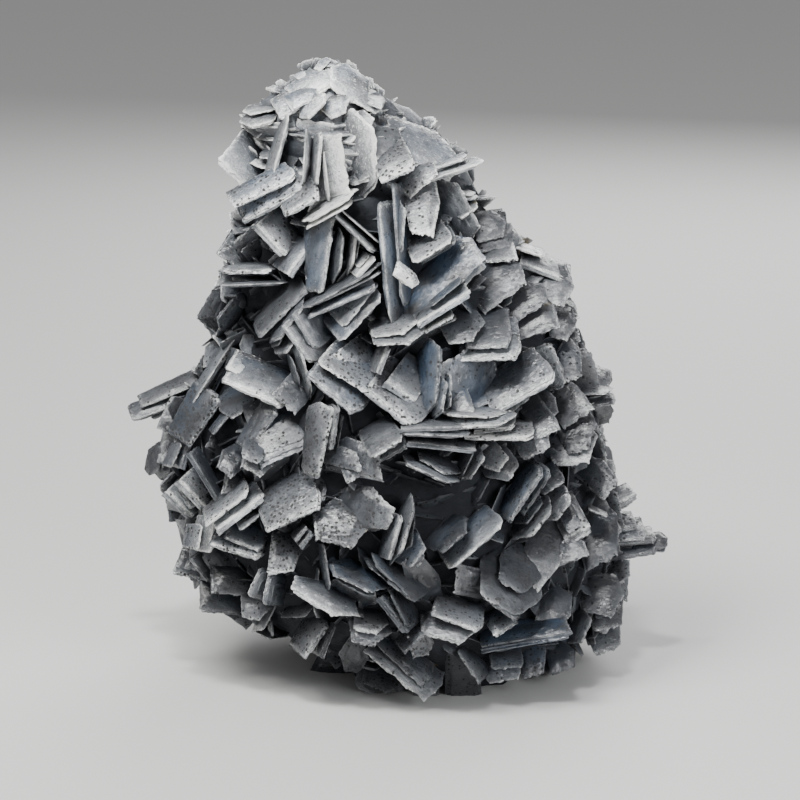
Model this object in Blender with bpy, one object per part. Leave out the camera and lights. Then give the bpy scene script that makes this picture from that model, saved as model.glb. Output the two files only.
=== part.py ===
"""Barite crystal cluster: thick tabular blades grown together in one mass, cut off flat underneath."""
import math
import random
from collections import namedtuple

import bmesh
import bpy
from mathutils import Matrix, Vector

# Driving dimensions, in metres
MM = 0.001
PIXEL = 0.28 * MM                # what one pixel of the photograph spans at the middle of the cluster
EYE_DISTANCE = 950 * MM
LOOK_DOWN = math.radians(12)     # how steeply the photograph looks down on the cluster
FRAME_MIDDLE_PX = 400            # middle of the square photograph, across and down
BASE_PX_X = 400                  # where the middle of the resting face lies in the photograph
BASE_PX_Y = 658
CORE_SETBACK = 4.5 * MM          # how far the mass under the blades lies inside their tips
CORE_SIDES = 10
ROOT_DEPTH = 2 * MM              # how far a blade's inner edge goes into that mass
CORE_UNEVEN = 2 * MM             # how far the corners of that mass stray in and out
LEAST_TURN = math.radians(36)    # the flattest that a blade lies against the mass

# Blades that follow a rule, on the sides and the back
GROWN_COUNT = 150
GROWN_LENGTH = (20 * MM, 32 * MM)
GROWN_WIDTH = (11 * MM, 16 * MM)
GROWN_THICKNESS = (2.2 * MM, 4.0 * MM)
GROWN_OUT = (-2 * MM, 2.5 * MM)
FULL_GROWTH = 54 * MM            # where the mound is narrower than this to a side, they are smaller
UNDERCUT_HEIGHT = 20 * MM        # below this they lie more level, so that they stay off the ground
UNDERCUT_FREEDOM = 0.2           # how freely they lean at the ground itself
GROWN_SLOPE = 75                 # degrees from level
GROWN_TURN = (34, 78)            # degrees from the mound's surface
FACING_FRONT = 0.3               # a blade whose place faces the viewer more than this is hand-placed
SEED = 7

# Small distances that only tidy the meshes
SEARCH_STEP = 0.5 * MM           # the step in which the mound's surface is looked for
SEARCH_START = 75 * MM
SEARCH_END = -75 * MM
RISE_STEP = 4 * MM               # the rise over which the mound's slope is measured
DEEPEST_ROOT = 30 * MM
WELD = 1e-7
GROUND_SIZE = 400 * MM

# Colour of the mineral: pale blue-grey, slightly waxy
BARITE_COLOUR = (0.42, 0.45, 0.48, 1)
BARITE_ROUGHNESS = 0.38

# Rings of the mound that the blade tips reach, in millimetres, from the resting face to the crown
Ring = namedtuple("Ring", "height x half_width y half_depth")
MOUND = [
    Ring(0, 11, 35, 2, 37),
    Ring(6, 15, 40, 2, 42),
    Ring(12, 9, 50, 2, 48),
    Ring(20, 4, 58, 2, 54),
    Ring(30, 2, 61, 2, 57),
    Ring(50, -3, 62, 3, 56),
    Ring(70, -4, 60, 4, 52),
    Ring(85, -1, 53, 4, 46),
    Ring(97, -2, 50, 4, 42),
    Ring(110, -3, 46, 4, 38),
    Ring(122, -8, 39, 4, 34),
    Ring(134, -12, 34, 4, 30),
    Ring(146, -14, 30, 4, 26),
    Ring(154, -20, 23, 3, 21),
    Ring(162, -20, 13, 2, 13),
    Ring(168, -20, 4, 2, 4),
]

# Outlines of the blades, as shares of length and width, anticlockwise
TABLET = ((-.50, .04), (-.34, -.46), (.30, -.50), (.50, -.06), (.33, .48), (-.30, .50))
LATH = ((-.50, -.44), (.44, -.50), (.50, .34), (.40, .50), (-.47, .46))
CHISEL = ((-.50, -.26), (.38, -.50), (.50, -.10), (.44, .46), (-.50, .34))
FAN = ((-.50, -.14), (-.16, -.50), (.36, -.42), (.50, .06), (.22, .50), (-.40, .38))
SHARD = ((-.50, -.36), (.10, -.50), (.50, -.20), (.42, .32), (-.30, .50))
T, L, C, F, S = "tablet", "lath", "chisel", "fan", "shard"
OUTLINES = {T: TABLET, L: LATH, C: CHISEL, F: FAN, S: SHARD}

# The blades that the photograph shows. x1, y1, x2, y2 are the pixels of the ends of the long axis,
# and width is the true width in pixels. turn is the angle in degrees between the blade's face and
# the viewer, plus where the face looks up or to the left, and dip brings its right end nearer.
# out is how far its nearest edge stands proud of the mound, and thick its thickness, in millimetres.
Blade = namedtuple("Blade", "x1 y1 x2 y2 width turn dip out thick outline")
CROWN = [
    (288, 96, 334, 74, 44, 50, 0, 3, 3.2, S),
    (330, 68, 368, 100, 40, 35, 0, 3, 3.0, T),
    (300, 118, 326, 94, 20, 35, 10, 8, 2.4, T),
    (282, 104, 318, 92, 30, 50, 0, 4, 3.0, S),
    (322, 112, 350, 98, 26, 25, 0, 1, 2.4, F),
    (352, 92, 380, 112, 30, 60, 0, 3, 2.4, S),
    (360, 100, 384, 106, 26, 75, 0, 4, 2.2, C),
    (272, 108, 300, 100, 34, 40, 0, 3, 2.8, S),
    (296, 84, 312, 78, 24, 60, 0, 0, 2.6, S),
]
LEFT_WALL = [
    (231, 138, 266, 190, 48, 12, -8, 3, 2.8, S),
    (240, 126, 280, 116, 40, 70, 0, 3, 2.6, T),
    (268, 180, 287, 114, 46, 74, 0, 5, 2.4, L),
    (282, 168, 300, 122, 34, 30, 0, -2, 2.2, C),
    (238, 214, 304, 176, 38, 42, 5, 7, 4.6, L),
    (282, 212, 318, 188, 34, 52, 8, 7, 3.2, L),
    (262, 218, 290, 252, 34, 35, 0, 3, 2.6, L),
    (224, 236, 250, 262, 40, 30, 0, -2, 2.4, S),
    (238, 262, 268, 226, 36, -30, 0, -4, 2.2, S),
    (218, 271, 284, 270, 40, 82, 0, 6, 3.6, T),
    (284, 274, 310, 240, 34, 60, 0, 3, 2.6, L),
    (212, 330, 224, 290, 40, -20, 0, -2, 2.4, S),
    (190, 403, 238, 331, 44, 76, 5, 6, 2.8, L),
    (222, 350, 252, 338, 40, -55, 0, -3, 2.2, C),
]
UPPER_MIDDLE = [
    (334, 134, 340, 198, 30, 42, 0, 4, 2.2, C),
    (352, 108, 360, 202, 46, 20, 0, 0, 2.4, T),
    (301, 224, 358, 192, 34, 76, 8, 10, 1.6, T),
    (306, 228, 352, 203, 30, 80, 8, 9, 1.3, L),
    (312, 294, 320, 216, 40, 46, -5, 6, 4.0, C),
    (296, 310, 384, 262, 44, 76, 10, 9, 1.8, T),
    (308, 314, 378, 283, 40, 74, 10, 8, 2.2, L),
    (256, 335, 305, 282, 38, 62, 5, 5, 2.2, C),
    (332, 334, 378, 290, 44, 48, 5, 6, 2.6, L),
]
RIGHT_SHOULDER = [
    (374, 126, 458, 168, 64, 38, 0, 1, 2.8, S),
    (366, 140, 404, 148, 44, 30, 0, 0, 2.2, T),
    (398, 187, 484, 162, 40, 76, 5, 7, 2.4, L),
    (378, 178, 414, 161, 34, 55, 5, 9, 2.6, L),
    (394, 192, 436, 166, 44, 50, 0, 4, 2.2, S),
    (404, 222, 442, 218, 40, 20, 0, 7, 2.2, F),
    (386, 200, 396, 326, 40, -62, 0, 4, 3.4, L),
    (397, 262, 402, 196, 28, 70, 0, 5, 2.2, T),
    (474, 224, 508, 226, 34, 15, 0, 0, 2.4, L),
    (468, 236, 514, 238, 40, 30, 0, 0, 2.6, S),
    (402, 316, 474, 240, 52, 32, 0, 3, 2.2, C),
    (410, 258, 452, 236, 36, 58, 5, 8, 2.4, L),
    (394, 264, 417, 286, 17, 30, 0, 10, 2.4, S),
    (414, 322, 470, 290, 38, 66, 5, 9, 2.2, L),
    (484, 256, 516, 250, 40, 60, 0, 2, 2.4, C),
]
RIGHT_SLOPE = [
    (520, 256, 572, 276, 44, 60, 0, 3, 2.2, L),
    (528, 288, 574, 284, 46, 20, 0, 1, 2.4, F),
    (462, 300, 524, 270, 52, 30, 0, 0, 2.4, S),
    (492, 312, 546, 290, 44, 25, 0, 1, 2.2, S),
    (500, 330, 556, 308, 46, 30, 0, 1, 2.2, C),
    (546, 322, 576, 324, 36, 15, 0, 0, 2.2, F),
    (552, 362, 582, 360, 46, 10, 0, 0, 2.2, S),
    (582, 402, 614, 394, 36, 60, 0, 4, 2.2, L),
    (458, 350, 521, 344, 46, 48, 5, 7, 2.4, L),
    (484, 400, 548, 362, 58, 42, 0, 6, 2.4, L),
    (556, 420, 586, 396, 36, 30, 0, 3, 2.2, C),
    (532, 434, 556, 418, 30, 40, 0, 6, 2.2, L),
    (511, 450, 551, 440, 34, 45, 0, 5, 2.2, S),
    (548, 456, 600, 444, 40, 40, 0, 5, 2.4, F),
    (598, 508, 634, 490, 36, 60, 0, 5, 2.6, L),
]
MIDDLE = [
    (367, 340, 426, 334, 40, 66, 5, 10, 2.2, F),
    (228, 362, 280, 386, 36, 60, 0, 6, 2.2, L),
    (224, 374, 292, 400, 36, 52, 5, 8, 3.6, L),
    (280, 384, 306, 404, 34, 20, 0, 3, 2.2, C),
    (290, 318, 322, 358, 36, 35, 0, 3, 2.2, L),
    (312, 366, 366, 406, 40, 38, 5, 6, 3.2, L),
    (340, 348, 362, 378, 30, 25, 0, 3, 2.4, L),
    (368, 384, 422, 422, 34, 36, 5, 5, 3.4, L),
    (426, 418, 434, 338, 40, 60, 0, 6, 4.0, T),
    (436, 420, 444, 372, 30, 70, 0, 7, 2.6, T),
    (429, 423, 517, 419, 46, 72, 5, 10, 2.4, T),
    (463, 434, 534, 434, 46, 74, 5, 11, 2.4, L),
    (400, 430, 470, 434, 44, 76, 5, 10, 2.2, L),
    (406, 440, 477, 449, 44, 78, 5, 9, 2.2, L),
    (366, 452, 402, 434, 40, 60, 0, 9, 3.0, L),
    (364, 484, 376, 446, 40, 30, 0, 6, 2.4, S),
    (336, 462, 366, 456, 46, 12, 0, 3, 2.4, S),
    (328, 450, 334, 404, 40, 72, 0, 6, 2.6, L),
    (309, 478, 322, 402, 30, 28, 0, 5, 3.2, C),
    (252, 444, 304, 428, 56, 18, 0, 3, 2.6, L),
    (242, 448, 272, 404, 28, 40, 0, 2, 2.2, L),
    (400, 457, 456, 484, 36, 76, 10, 9, 2.2, T),
    (372, 532, 384, 490, 34, 15, 0, 5, 2.4, F),
    (393, 567, 415, 494, 36, 76, 0, 8, 2.2, T),
    (312, 520, 370, 524, 56, 28, 0, 5, 2.8, F),
    (505, 520, 539, 465, 38, 68, 5, 8, 2.6, L),
    (537, 488, 563, 475, 34, 55, 0, 4, 2.2, L),
]
LEFT_BULGE = [
    (129, 414, 202, 388, 28, 46, 0, 2, 3.6, L),
    (150, 414, 196, 392, 34, 62, 0, 2, 2.8, C),
    (178, 440, 210, 388, 44, 35, 5, 4, 2.6, L),
    (160, 480, 167, 440, 34, 50, 0, 1, 2.6, T),
    (176, 468, 186, 438, 34, 60, 0, 3, 2.6, L),
    (170, 486, 196, 514, 36, 55, 0, 3, 3.0, L),
    (182, 476, 208, 506, 34, 60, 0, 3, 3.0, L),
    (218, 458, 244, 470, 34, 45, 0, 4, 2.4, F),
    (240, 458, 274, 468, 34, 50, 0, 5, 3.0, F),
    (214, 529, 264, 494, 36, 66, 5, 8, 2.2, L),
    (202, 552, 208, 514, 34, 50, 0, 6, 3.2, L),
    (211, 537, 266, 550, 38, 58, 5, 6, 3.4, L),
    (178, 552, 208, 570, 44, 30, 0, 0, 2.4, S),
]
LOWER_LEFT = [
    (262, 524, 320, 492, 42, 48, 5, 7, 3.0, L),
    (268, 548, 300, 556, 50, 15, 0, 4, 2.6, S),
    (299, 547, 312, 532, 28, 76, 0, 9, 1.8, L),
    (196, 591, 248, 605, 38, 30, 0, 0, 2.6, S),
    (206, 575, 254, 587, 38, 35, 0, 1, 2.6, S),
    (240, 600, 274, 606, 36, 25, 0, 0, 2.6, F),
    (258, 600, 270, 570, 34, -50, 0, 3, 2.4, L),
    (271, 606, 276, 572, 30, -60, 0, 3, 2.6, L),
    (293, 578, 360, 614, 42, 52, 8, 7, 2.4, F),
    (327, 564, 388, 592, 38, 68, 5, 8, 2.2, T),
    (300, 656, 324, 618, 34, 62, 0, 5, 2.8, L),
    (312, 664, 352, 676, 56, -20, 0, 0, 2.8, F),
    (340, 650, 368, 660, 44, -20, 0, 1, 2.2, F),
    (386, 570, 422, 600, 36, 60, 0, 7, 2.2, T),
]
LOWER_MIDDLE = [
    (348, 624, 392, 632, 44, 40, 0, 4, 2.8, F),
    (372, 640, 438, 690, 44, 40, 5, 4, 2.8, C),
    (418, 622, 480, 630, 46, 50, 5, 8, 2.8, F),
    (354, 668, 410, 690, 44, 30, 0, 1, 2.6, F),
    (410, 692, 440, 690, 34, 30, 0, 2, 2.6, S),
    (432, 553, 470, 522, 36, 66, 5, 8, 2.2, T),
    (444, 564, 502, 518, 36, 56, 5, 8, 2.8, L),
    (472, 572, 532, 614, 44, 46, 0, 7, 2.6, T),
    (485, 628, 518, 616, 36, 58, 0, 5, 2.4, S),
    (516, 562, 556, 578, 44, 30, 0, 4, 2.4, F),
    (538, 600, 572, 612, 50, 12, 0, 3, 2.6, F),
    (478, 640, 572, 626, 46, 60, 5, 7, 2.8, L),
    (440, 668, 480, 664, 54, -10, 0, 0, 2.8, S),
    (462, 646, 486, 678, 34, 60, 0, 3, 2.2, C),
    (484, 662, 520, 660, 44, 10, 0, 1, 2.8, L),
    (518, 656, 546, 658, 42, 12, 0, 1, 2.6, S),
    (544, 658, 576, 656, 36, 30, 0, 0, 2.4, S),
]
LOWER_RIGHT = [
    (571, 645, 588, 612, 34, 62, 0, 5, 2.4, T),
    (576, 592, 624, 592, 50, 15, 0, 1, 2.4, F),
    (586, 616, 624, 618, 40, 50, 0, 3, 2.4, S),
    (584, 638, 622, 634, 40, 30, 0, 0, 2.6, S),
    (604, 534, 645, 528, 38, 55, 0, 4, 2.4, L),
    (608, 552, 656, 542, 40, 60, 0, 5, 2.6, L),
    (636, 542, 668, 540, 26, 45, 0, 2, 2.4, T),
    (574, 550, 620, 548, 48, 20, 0, 2, 2.6, S),
    (556, 524, 584, 512, 56, 25, 0, 5, 2.6, L),
    (516, 542, 552, 498, 36, 60, 0, 5, 2.2, T),
    (538, 520, 566, 486, 40, 40, 0, 3, 2.2, T),
    (540, 560, 584, 538, 44, 40, 0, 4, 2.4, C),
    (590, 536, 618, 520, 44, 30, 0, 1, 2.2, S),
]

REGIONS = (CROWN, LEFT_WALL, UPPER_MIDDLE, RIGHT_SHOULDER, RIGHT_SLOPE, MIDDLE, LEFT_BULGE,
           LOWER_LEFT, LOWER_MIDDLE, LOWER_RIGHT)

# The viewer's directions: to the right, up the picture, and out of it
RIGHT = Vector((1, 0, 0))
UP = Vector((0, math.sin(LOOK_DOWN), math.cos(LOOK_DOWN)))
NEAR = Vector((0, -math.cos(LOOK_DOWN), math.sin(LOOK_DOWN)))
AIM = ((FRAME_MIDDLE_PX - BASE_PX_X) * PIXEL * RIGHT
       + (BASE_PX_Y - FRAME_MIDDLE_PX) * PIXEL * UP)
EYE = AIM + NEAR * EYE_DISTANCE

# For a positive turn, a blade's face looks to this side of its long axis: up, and a little left
LIT_SIDE = Matrix.Rotation(math.radians(30), 3, NEAR) @ UP


def seen_point(px, py, nearness):
    """The point seen at a pixel, at a distance in front of the cluster's mid plane."""
    across = (px - FRAME_MIDDLE_PX) * PIXEL / EYE_DISTANCE
    upward = (FRAME_MIDDLE_PX - py) * PIXEL / EYE_DISTANCE
    sight = RIGHT * across + UP * upward - NEAR
    return EYE + sight * (EYE_DISTANCE - nearness)


def mound_ring(height):
    """Middle and half sizes of the mound at a height, all in metres: x, half width, y, half depth."""
    height_mm = min(max(height / MM, MOUND[0].height), MOUND[-1].height)
    for low, high in zip(MOUND, MOUND[1:]):
        if height_mm <= high.height:
            share = (height_mm - low.height) / (high.height - low.height)
            return [(a + (b - a) * share) * MM for a, b in zip(low[1:], high[1:])]


def reach_in_mound(point):
    """Below 1 inside the mound, 1 on its surface, and more outside it."""
    x, half_width, y, half_depth = mound_ring(point.z)
    over = max(point.z - MOUND[-1].height * MM, 0) / half_width
    return math.hypot((point.x - x) / half_width, (point.y - y) / half_depth) + over


def mound_nearness(px, py):
    """How far in front of the mid plane the mound's surface, or its closest pass, is seen."""
    count = round((SEARCH_START - SEARCH_END) / SEARCH_STEP)
    steps = [SEARCH_START - SEARCH_STEP * number for number in range(count)]
    for nearness in steps:
        point = seen_point(px, py, nearness)
        if point.z >= 0 and reach_in_mound(point) < 1:
            return nearness
    return min(steps, key=lambda nearness: reach_in_mound(seen_point(px, py, nearness)))


def mound_point(height, angle):
    """A point on the mound's surface, and the direction straight out of it."""
    x, half_width, y, half_depth = mound_ring(height)
    point = Vector((x + half_width * math.cos(angle), y + half_depth * math.sin(angle), height))
    x, half_width, y, half_depth = mound_ring(height + RISE_STEP)
    above = Vector((x + half_width * math.cos(angle), y + half_depth * math.sin(angle), height + RISE_STEP))
    around = Vector((-half_width * math.sin(angle), half_depth * math.cos(angle), 0))
    return point, around.cross(above - point).normalized()


def depth_below(point, inward):
    """How far a point must go inward to lie in the mass under the blades."""
    for number in range(round(DEEPEST_ROOT / SEARCH_STEP)):
        depth = number * SEARCH_STEP
        place = point + inward * depth
        x, half_width, y, half_depth = mound_ring(place.z)
        half_width = max(half_width - CORE_SETBACK, SEARCH_STEP)
        half_depth = max(half_depth - CORE_SETBACK, SEARCH_STEP)
        if math.hypot((place.x - x) / half_width, (place.y - y) / half_depth) < 1:
            return depth
    return 0


def rooted_blade(middle, along, across, length, width, thickness, outward):
    """A blade's transform, its free edge outward, widened inward until it grows from the mass."""
    along = along.normalized()
    free = (across if across.dot(outward) > 0 else -across).normalized()
    gap = depth_below(middle - free * width / 2, -free)
    reach = gap + ROOT_DEPTH if gap else 0
    turned = Matrix((along, free, along.cross(free))).transposed().to_4x4()
    middle = middle - free * reach / 2
    return Matrix.Translation(middle) @ turned @ Matrix.Diagonal((length, width + reach, thickness, 1))


def seen_blade(blade):
    """The transform of a blade read from the photograph."""
    dip = math.radians(blade.dip)
    turn = math.copysign(max(math.radians(abs(blade.turn)), LEAST_TURN), blade.turn)
    flat = RIGHT * (blade.x2 - blade.x1) - UP * (blade.y2 - blade.y1)
    span = flat.length * PIXEL
    flat.normalize()
    across = NEAR.cross(flat)
    if across.dot(LIT_SIDE) < 0:
        across.negate()
    along = flat * math.cos(dip) + NEAR * math.sin(dip)
    toward = NEAR * math.cos(dip) - flat * math.sin(dip)
    across = across * math.cos(turn) - toward * math.sin(turn)
    width = blade.width * PIXEL * math.cos(math.radians(blade.turn)) / math.cos(turn)
    px, py = (blade.x1 + blade.x2) / 2, (blade.y1 + blade.y2) / 2
    half_reach = (width * abs(math.sin(turn)) + span * math.tan(abs(dip))) / 2
    nearness = mound_nearness(px, py) + blade.out * MM - half_reach
    near_scale = (EYE_DISTANCE - nearness) / EYE_DISTANCE
    length = span / math.cos(dip) * near_scale
    return rooted_blade(seen_point(px, py, nearness), along, across, length, width * near_scale,
                        blade.thick * MM, NEAR)


def even_heights(count):
    """Heights that share the mound's wall out evenly, from the resting face to the crown."""
    slices = [step * MM for step in range(MOUND[-1].height)]
    girths = [half_width + half_depth for _, half_width, _, half_depth in map(mound_ring, slices)]
    passed, total = 0, sum(girths)
    wanted = [(number + 0.5) * total / count for number in range(count)]
    for height, girth in zip(slices, girths):
        while wanted and wanted[0] <= passed + girth:
            yield height + (wanted.pop(0) - passed) / girth * MM
        passed += girth


def grown_blades(rng):
    """Transforms and outlines of the blades that follow a rule, spread by the golden angle."""
    golden_angle = math.pi * (3 - math.sqrt(5))
    for number, height in enumerate(even_heights(GROWN_COUNT)):
        place, outward = mound_point(height, number * golden_angle)
        growth = min(1, mound_ring(height)[1] / FULL_GROWTH)
        length, width = rng.uniform(*GROWN_LENGTH) * growth, rng.uniform(*GROWN_WIDTH) * growth
        calm = growth ** 2 * min(1, UNDERCUT_FREEDOM + height / UNDERCUT_HEIGHT)
        thickness, out = rng.uniform(*GROWN_THICKNESS), rng.uniform(*GROWN_OUT) * calm
        slope = math.radians(rng.uniform(-GROWN_SLOPE, GROWN_SLOPE)) * calm
        turn = math.radians(rng.uniform(*GROWN_TURN) * rng.choice((-1, 1)))
        outline = rng.choice(list(OUTLINES.values()))
        if outward.dot(NEAR) > FACING_FRONT:
            continue
        level = outward.cross(Vector((0, 0, 1))).normalized()
        along = Matrix.Rotation(slope, 3, outward) @ level
        across = Matrix.Rotation(turn, 3, along) @ along.cross(outward)
        inward = width / 2 * abs(math.sin(turn)) - out
        yield rooted_blade(place - outward * inward, along, across, length, width, thickness,
                           outward), outline


def plate_mesh(name, outline):
    """A flat plate of unit length, width and thickness with the outline given."""
    curve = bpy.data.curves.new(name, "CURVE")
    curve.dimensions = "2D"
    curve.fill_mode = "BOTH"
    curve.extrude = 0.5
    spline = curve.splines.new("POLY")
    spline.points.add(len(outline) - 1)
    for point, (u, v) in zip(spline.points, outline):
        point.co = (u, v, 0, 1)
    spline.use_cyclic_u = True
    holder = bpy.data.objects.new(name, curve)
    bpy.context.collection.objects.link(holder)
    bpy.context.view_layer.update()
    seen = holder.evaluated_get(bpy.context.evaluated_depsgraph_get())
    mesh = bpy.data.meshes.new_from_object(seen)
    bpy.data.objects.remove(holder)
    shape = bmesh.new()
    shape.from_mesh(mesh)
    bmesh.ops.remove_doubles(shape, verts=shape.verts, dist=WELD)
    flat_angle = math.radians(1)
    bmesh.ops.dissolve_limit(shape, angle_limit=flat_angle, verts=shape.verts, edges=shape.edges)
    bmesh.ops.recalc_face_normals(shape, faces=shape.faces)
    shape.to_mesh(mesh)
    shape.free()
    return mesh


def blades_object(collection):
    """All blades in one mesh, still passing through each other."""
    plates = {outline: plate_mesh("plate_" + name, outline) for name, outline in OUTLINES.items()}
    placed = [(seen_blade(Blade(*row)), OUTLINES[row[-1]]) for region in REGIONS for row in region]
    placed += grown_blades(random.Random(SEED))
    joined = bmesh.new()
    for matrix, outline in placed:
        start = len(joined.verts)
        joined.from_mesh(plates[outline])
        joined.verts.ensure_lookup_table()
        bmesh.ops.transform(joined, matrix=matrix, verts=joined.verts[start:])
    mesh = bpy.data.meshes.new("blades")
    joined.to_mesh(mesh)
    joined.free()
    return add_object("blades", mesh, collection)


def core_mesh():
    """The mass under the blades: a stack of rings, each drawn in from the mound's surface."""
    rng = random.Random(SEED)
    shape = bmesh.new()
    rings = [ring for ring in MOUND if min(ring.half_width, ring.half_depth) * MM > CORE_SETBACK]
    loops = []
    for ring in rings:
        loop = []
        for side in range(CORE_SIDES):
            angle = math.tau * side / CORE_SIDES
            setback = CORE_SETBACK + rng.uniform(-CORE_UNEVEN, CORE_UNEVEN)
            x = ring.x * MM + (ring.half_width * MM - setback) * math.cos(angle)
            y = ring.y * MM + (ring.half_depth * MM - setback) * math.sin(angle)
            loop.append(shape.verts.new((x, y, ring.height * MM)))
        loops.append(loop)
    for low, high in zip(loops, loops[1:]):
        for side in range(CORE_SIDES):
            after = (side + 1) % CORE_SIDES
            shape.faces.new((low[side], low[after], high[after], high[side]))
    shape.faces.new(loops[0][::-1])
    shape.faces.new(loops[-1])
    bmesh.ops.translate(shape, verts=loops[0], vec=(0, 0, -CORE_SETBACK))
    mesh = bpy.data.meshes.new("core")
    shape.to_mesh(mesh)
    shape.free()
    return mesh


def add_object(name, mesh, collection):
    """A new object in a collection."""
    thing = bpy.data.objects.new(name, mesh)
    collection.objects.link(thing)
    return thing


def ground_object(collection):
    """The block below the resting face, where the rock was."""
    shape = bmesh.new()
    bmesh.ops.create_cube(shape, size=GROUND_SIZE)
    bmesh.ops.translate(shape, verts=shape.verts, vec=(0, 0, -GROUND_SIZE / 2))
    mesh = bpy.data.meshes.new("ground")
    shape.to_mesh(mesh)
    shape.free()
    return add_object("ground", mesh, collection)


def make_guide(thing):
    """Marks an object as one that only shapes another."""
    thing.hide_render = True
    thing.display_type = "WIRE"


def add_boolean(target, operation, other, self_crossing=False):
    """An exact Boolean modifier."""
    boolean = target.modifiers.new(operation.lower(), "BOOLEAN")
    boolean.operation = operation
    boolean.object = other
    boolean.solver = "EXACT"
    boolean.use_self = self_crossing


def connected_groups(shape):
    """The faces of a mesh, in groups that hang together."""
    left = set(shape.faces)
    while left:
        first = left.pop()
        group, queue = [first], [first]
        while queue:
            face = queue.pop()
            for edge in face.edges:
                for neighbour in edge.link_faces:
                    if neighbour in left:
                        left.remove(neighbour)
                        group.append(neighbour)
                        queue.append(neighbour)
        yield group


def keep_outer_skin(mesh):
    """Fills the sealed pockets between the blades, so that one closed skin is left."""
    shape = bmesh.new()
    shape.from_mesh(mesh)
    bmesh.ops.remove_doubles(shape, verts=shape.verts, dist=WELD)
    groups = sorted(connected_groups(shape), key=len)
    pockets = [face for group in groups[:-1] for face in group]
    bmesh.ops.delete(shape, geom=pockets, context="FACES")
    shape.to_mesh(mesh)
    shape.free()


def barite_material():
    """The mineral's own finish."""
    material = bpy.data.materials.new("barite")
    material.use_nodes = True
    shader = material.node_tree.nodes["Principled BSDF"]
    shader.inputs["Base Color"].default_value = BARITE_COLOUR
    shader.inputs["Roughness"].default_value = BARITE_ROUGHNESS
    shader.inputs["Metallic"].default_value = 0
    return material


def build():
    """The whole cluster."""
    for thing in list(bpy.data.objects):
        bpy.data.objects.remove(thing, do_unlink=True)
    parts = bpy.data.collections.new("barite crystal cluster")
    cutters = bpy.data.collections.new("cutters")
    bpy.context.scene.collection.children.link(parts)
    bpy.context.scene.collection.children.link(cutters)
    blades = blades_object(cutters)
    ground = ground_object(cutters)
    make_guide(blades)
    make_guide(ground)
    cluster = add_object("barite_cluster", core_mesh(), parts)
    add_boolean(cluster, "UNION", blades, self_crossing=True)
    add_boolean(cluster, "DIFFERENCE", ground)
    bpy.context.view_layer.update()
    seen = cluster.evaluated_get(bpy.context.evaluated_depsgraph_get())
    cluster.data = bpy.data.meshes.new_from_object(seen)
    cluster.modifiers.clear()
    keep_outer_skin(cluster.data)
    cluster.data.materials.clear()
    cluster.data.materials.append(barite_material())


build()
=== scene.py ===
import math
import random
from collections import namedtuple

import bpy
import numpy as np
from mathutils import Matrix, Vector


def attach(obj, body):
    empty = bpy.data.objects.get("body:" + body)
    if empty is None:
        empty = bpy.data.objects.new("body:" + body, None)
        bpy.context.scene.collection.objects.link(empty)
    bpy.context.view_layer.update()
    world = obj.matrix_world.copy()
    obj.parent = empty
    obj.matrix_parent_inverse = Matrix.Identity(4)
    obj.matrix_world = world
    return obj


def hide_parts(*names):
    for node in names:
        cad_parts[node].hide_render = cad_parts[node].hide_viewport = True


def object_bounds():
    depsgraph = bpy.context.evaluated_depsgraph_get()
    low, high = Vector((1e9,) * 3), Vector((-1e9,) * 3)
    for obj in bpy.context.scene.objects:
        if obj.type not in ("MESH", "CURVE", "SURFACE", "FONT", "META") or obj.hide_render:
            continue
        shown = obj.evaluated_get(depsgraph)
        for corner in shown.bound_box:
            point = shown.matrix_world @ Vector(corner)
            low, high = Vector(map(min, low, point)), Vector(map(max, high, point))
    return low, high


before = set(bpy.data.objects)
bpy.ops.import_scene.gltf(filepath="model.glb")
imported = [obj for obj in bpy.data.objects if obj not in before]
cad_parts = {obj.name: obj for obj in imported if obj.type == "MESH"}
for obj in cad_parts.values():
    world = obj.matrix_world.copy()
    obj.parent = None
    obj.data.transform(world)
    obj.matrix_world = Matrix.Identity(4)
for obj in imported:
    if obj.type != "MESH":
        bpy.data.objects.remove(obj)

cad_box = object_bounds()

# The mass under the blades. All blades of the cluster grow out of one solid mass of the same
# mineral, which shows only as rough hollows between them, painted dark there as shade. It broke off
# its rock along a flat face.
MM = 0.001
Ring = namedtuple("Ring", "height x half_width y half_depth")
MOUND = [
    Ring(0, 11, 35, 2, 37),
    Ring(6, 15, 40, 2, 42),
    Ring(12, 9, 50, 2, 48),
    Ring(20, 4, 58, 2, 54),
    Ring(30, 2, 61, 2, 57),
    Ring(50, -3, 62, 3, 56),
    Ring(70, -4, 60, 4, 52),
    Ring(85, -1, 53, 4, 46),
    Ring(97, -2, 50, 4, 42),
    Ring(110, -3, 46, 4, 38),
    Ring(122, -8, 39, 4, 34),
    Ring(134, -12, 34, 4, 30),
    Ring(146, -14, 30, 4, 26),
    Ring(154, -20, 23, 3, 21),
    Ring(162, -20, 13, 2, 13),
    Ring(168, -20, 4, 2, 4),
]
CORE_SETBACK = 5.5 * MM  # how deep the mass lies under the mound's surface
CROWN_FOOT = 0.8  # from this share of its height on it comes nearer to the surface
CROWN_SHARE = 0.2
CROWN_RISE = 0.6
CORE_TOP = 165 * MM
CORE_STORIES = 54
CORE_SIDES = 112
STEP_SIZE, STEP_DEPTH = 9 * MM, 5 * MM
GRAIN_SIZE, GRAIN_DEPTH = 2 * MM, 1.4 * MM
FOOT_CUT = 0.3 * MM
FOOT_REACH = 0.31 * MM


def mound_ring(height):
    """Middle and half sizes of the mound at a height, in metres: x, half width, y, half depth."""
    height_mm = min(max(height / MM, MOUND[0].height), MOUND[-1].height)
    for low, high in zip(MOUND, MOUND[1:]):
        if height_mm <= high.height:
            share = (height_mm - low.height) / (high.height - low.height)
            return [(a + (b - a) * share) * MM for a, b in zip(low[1:], high[1:])]


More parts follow.
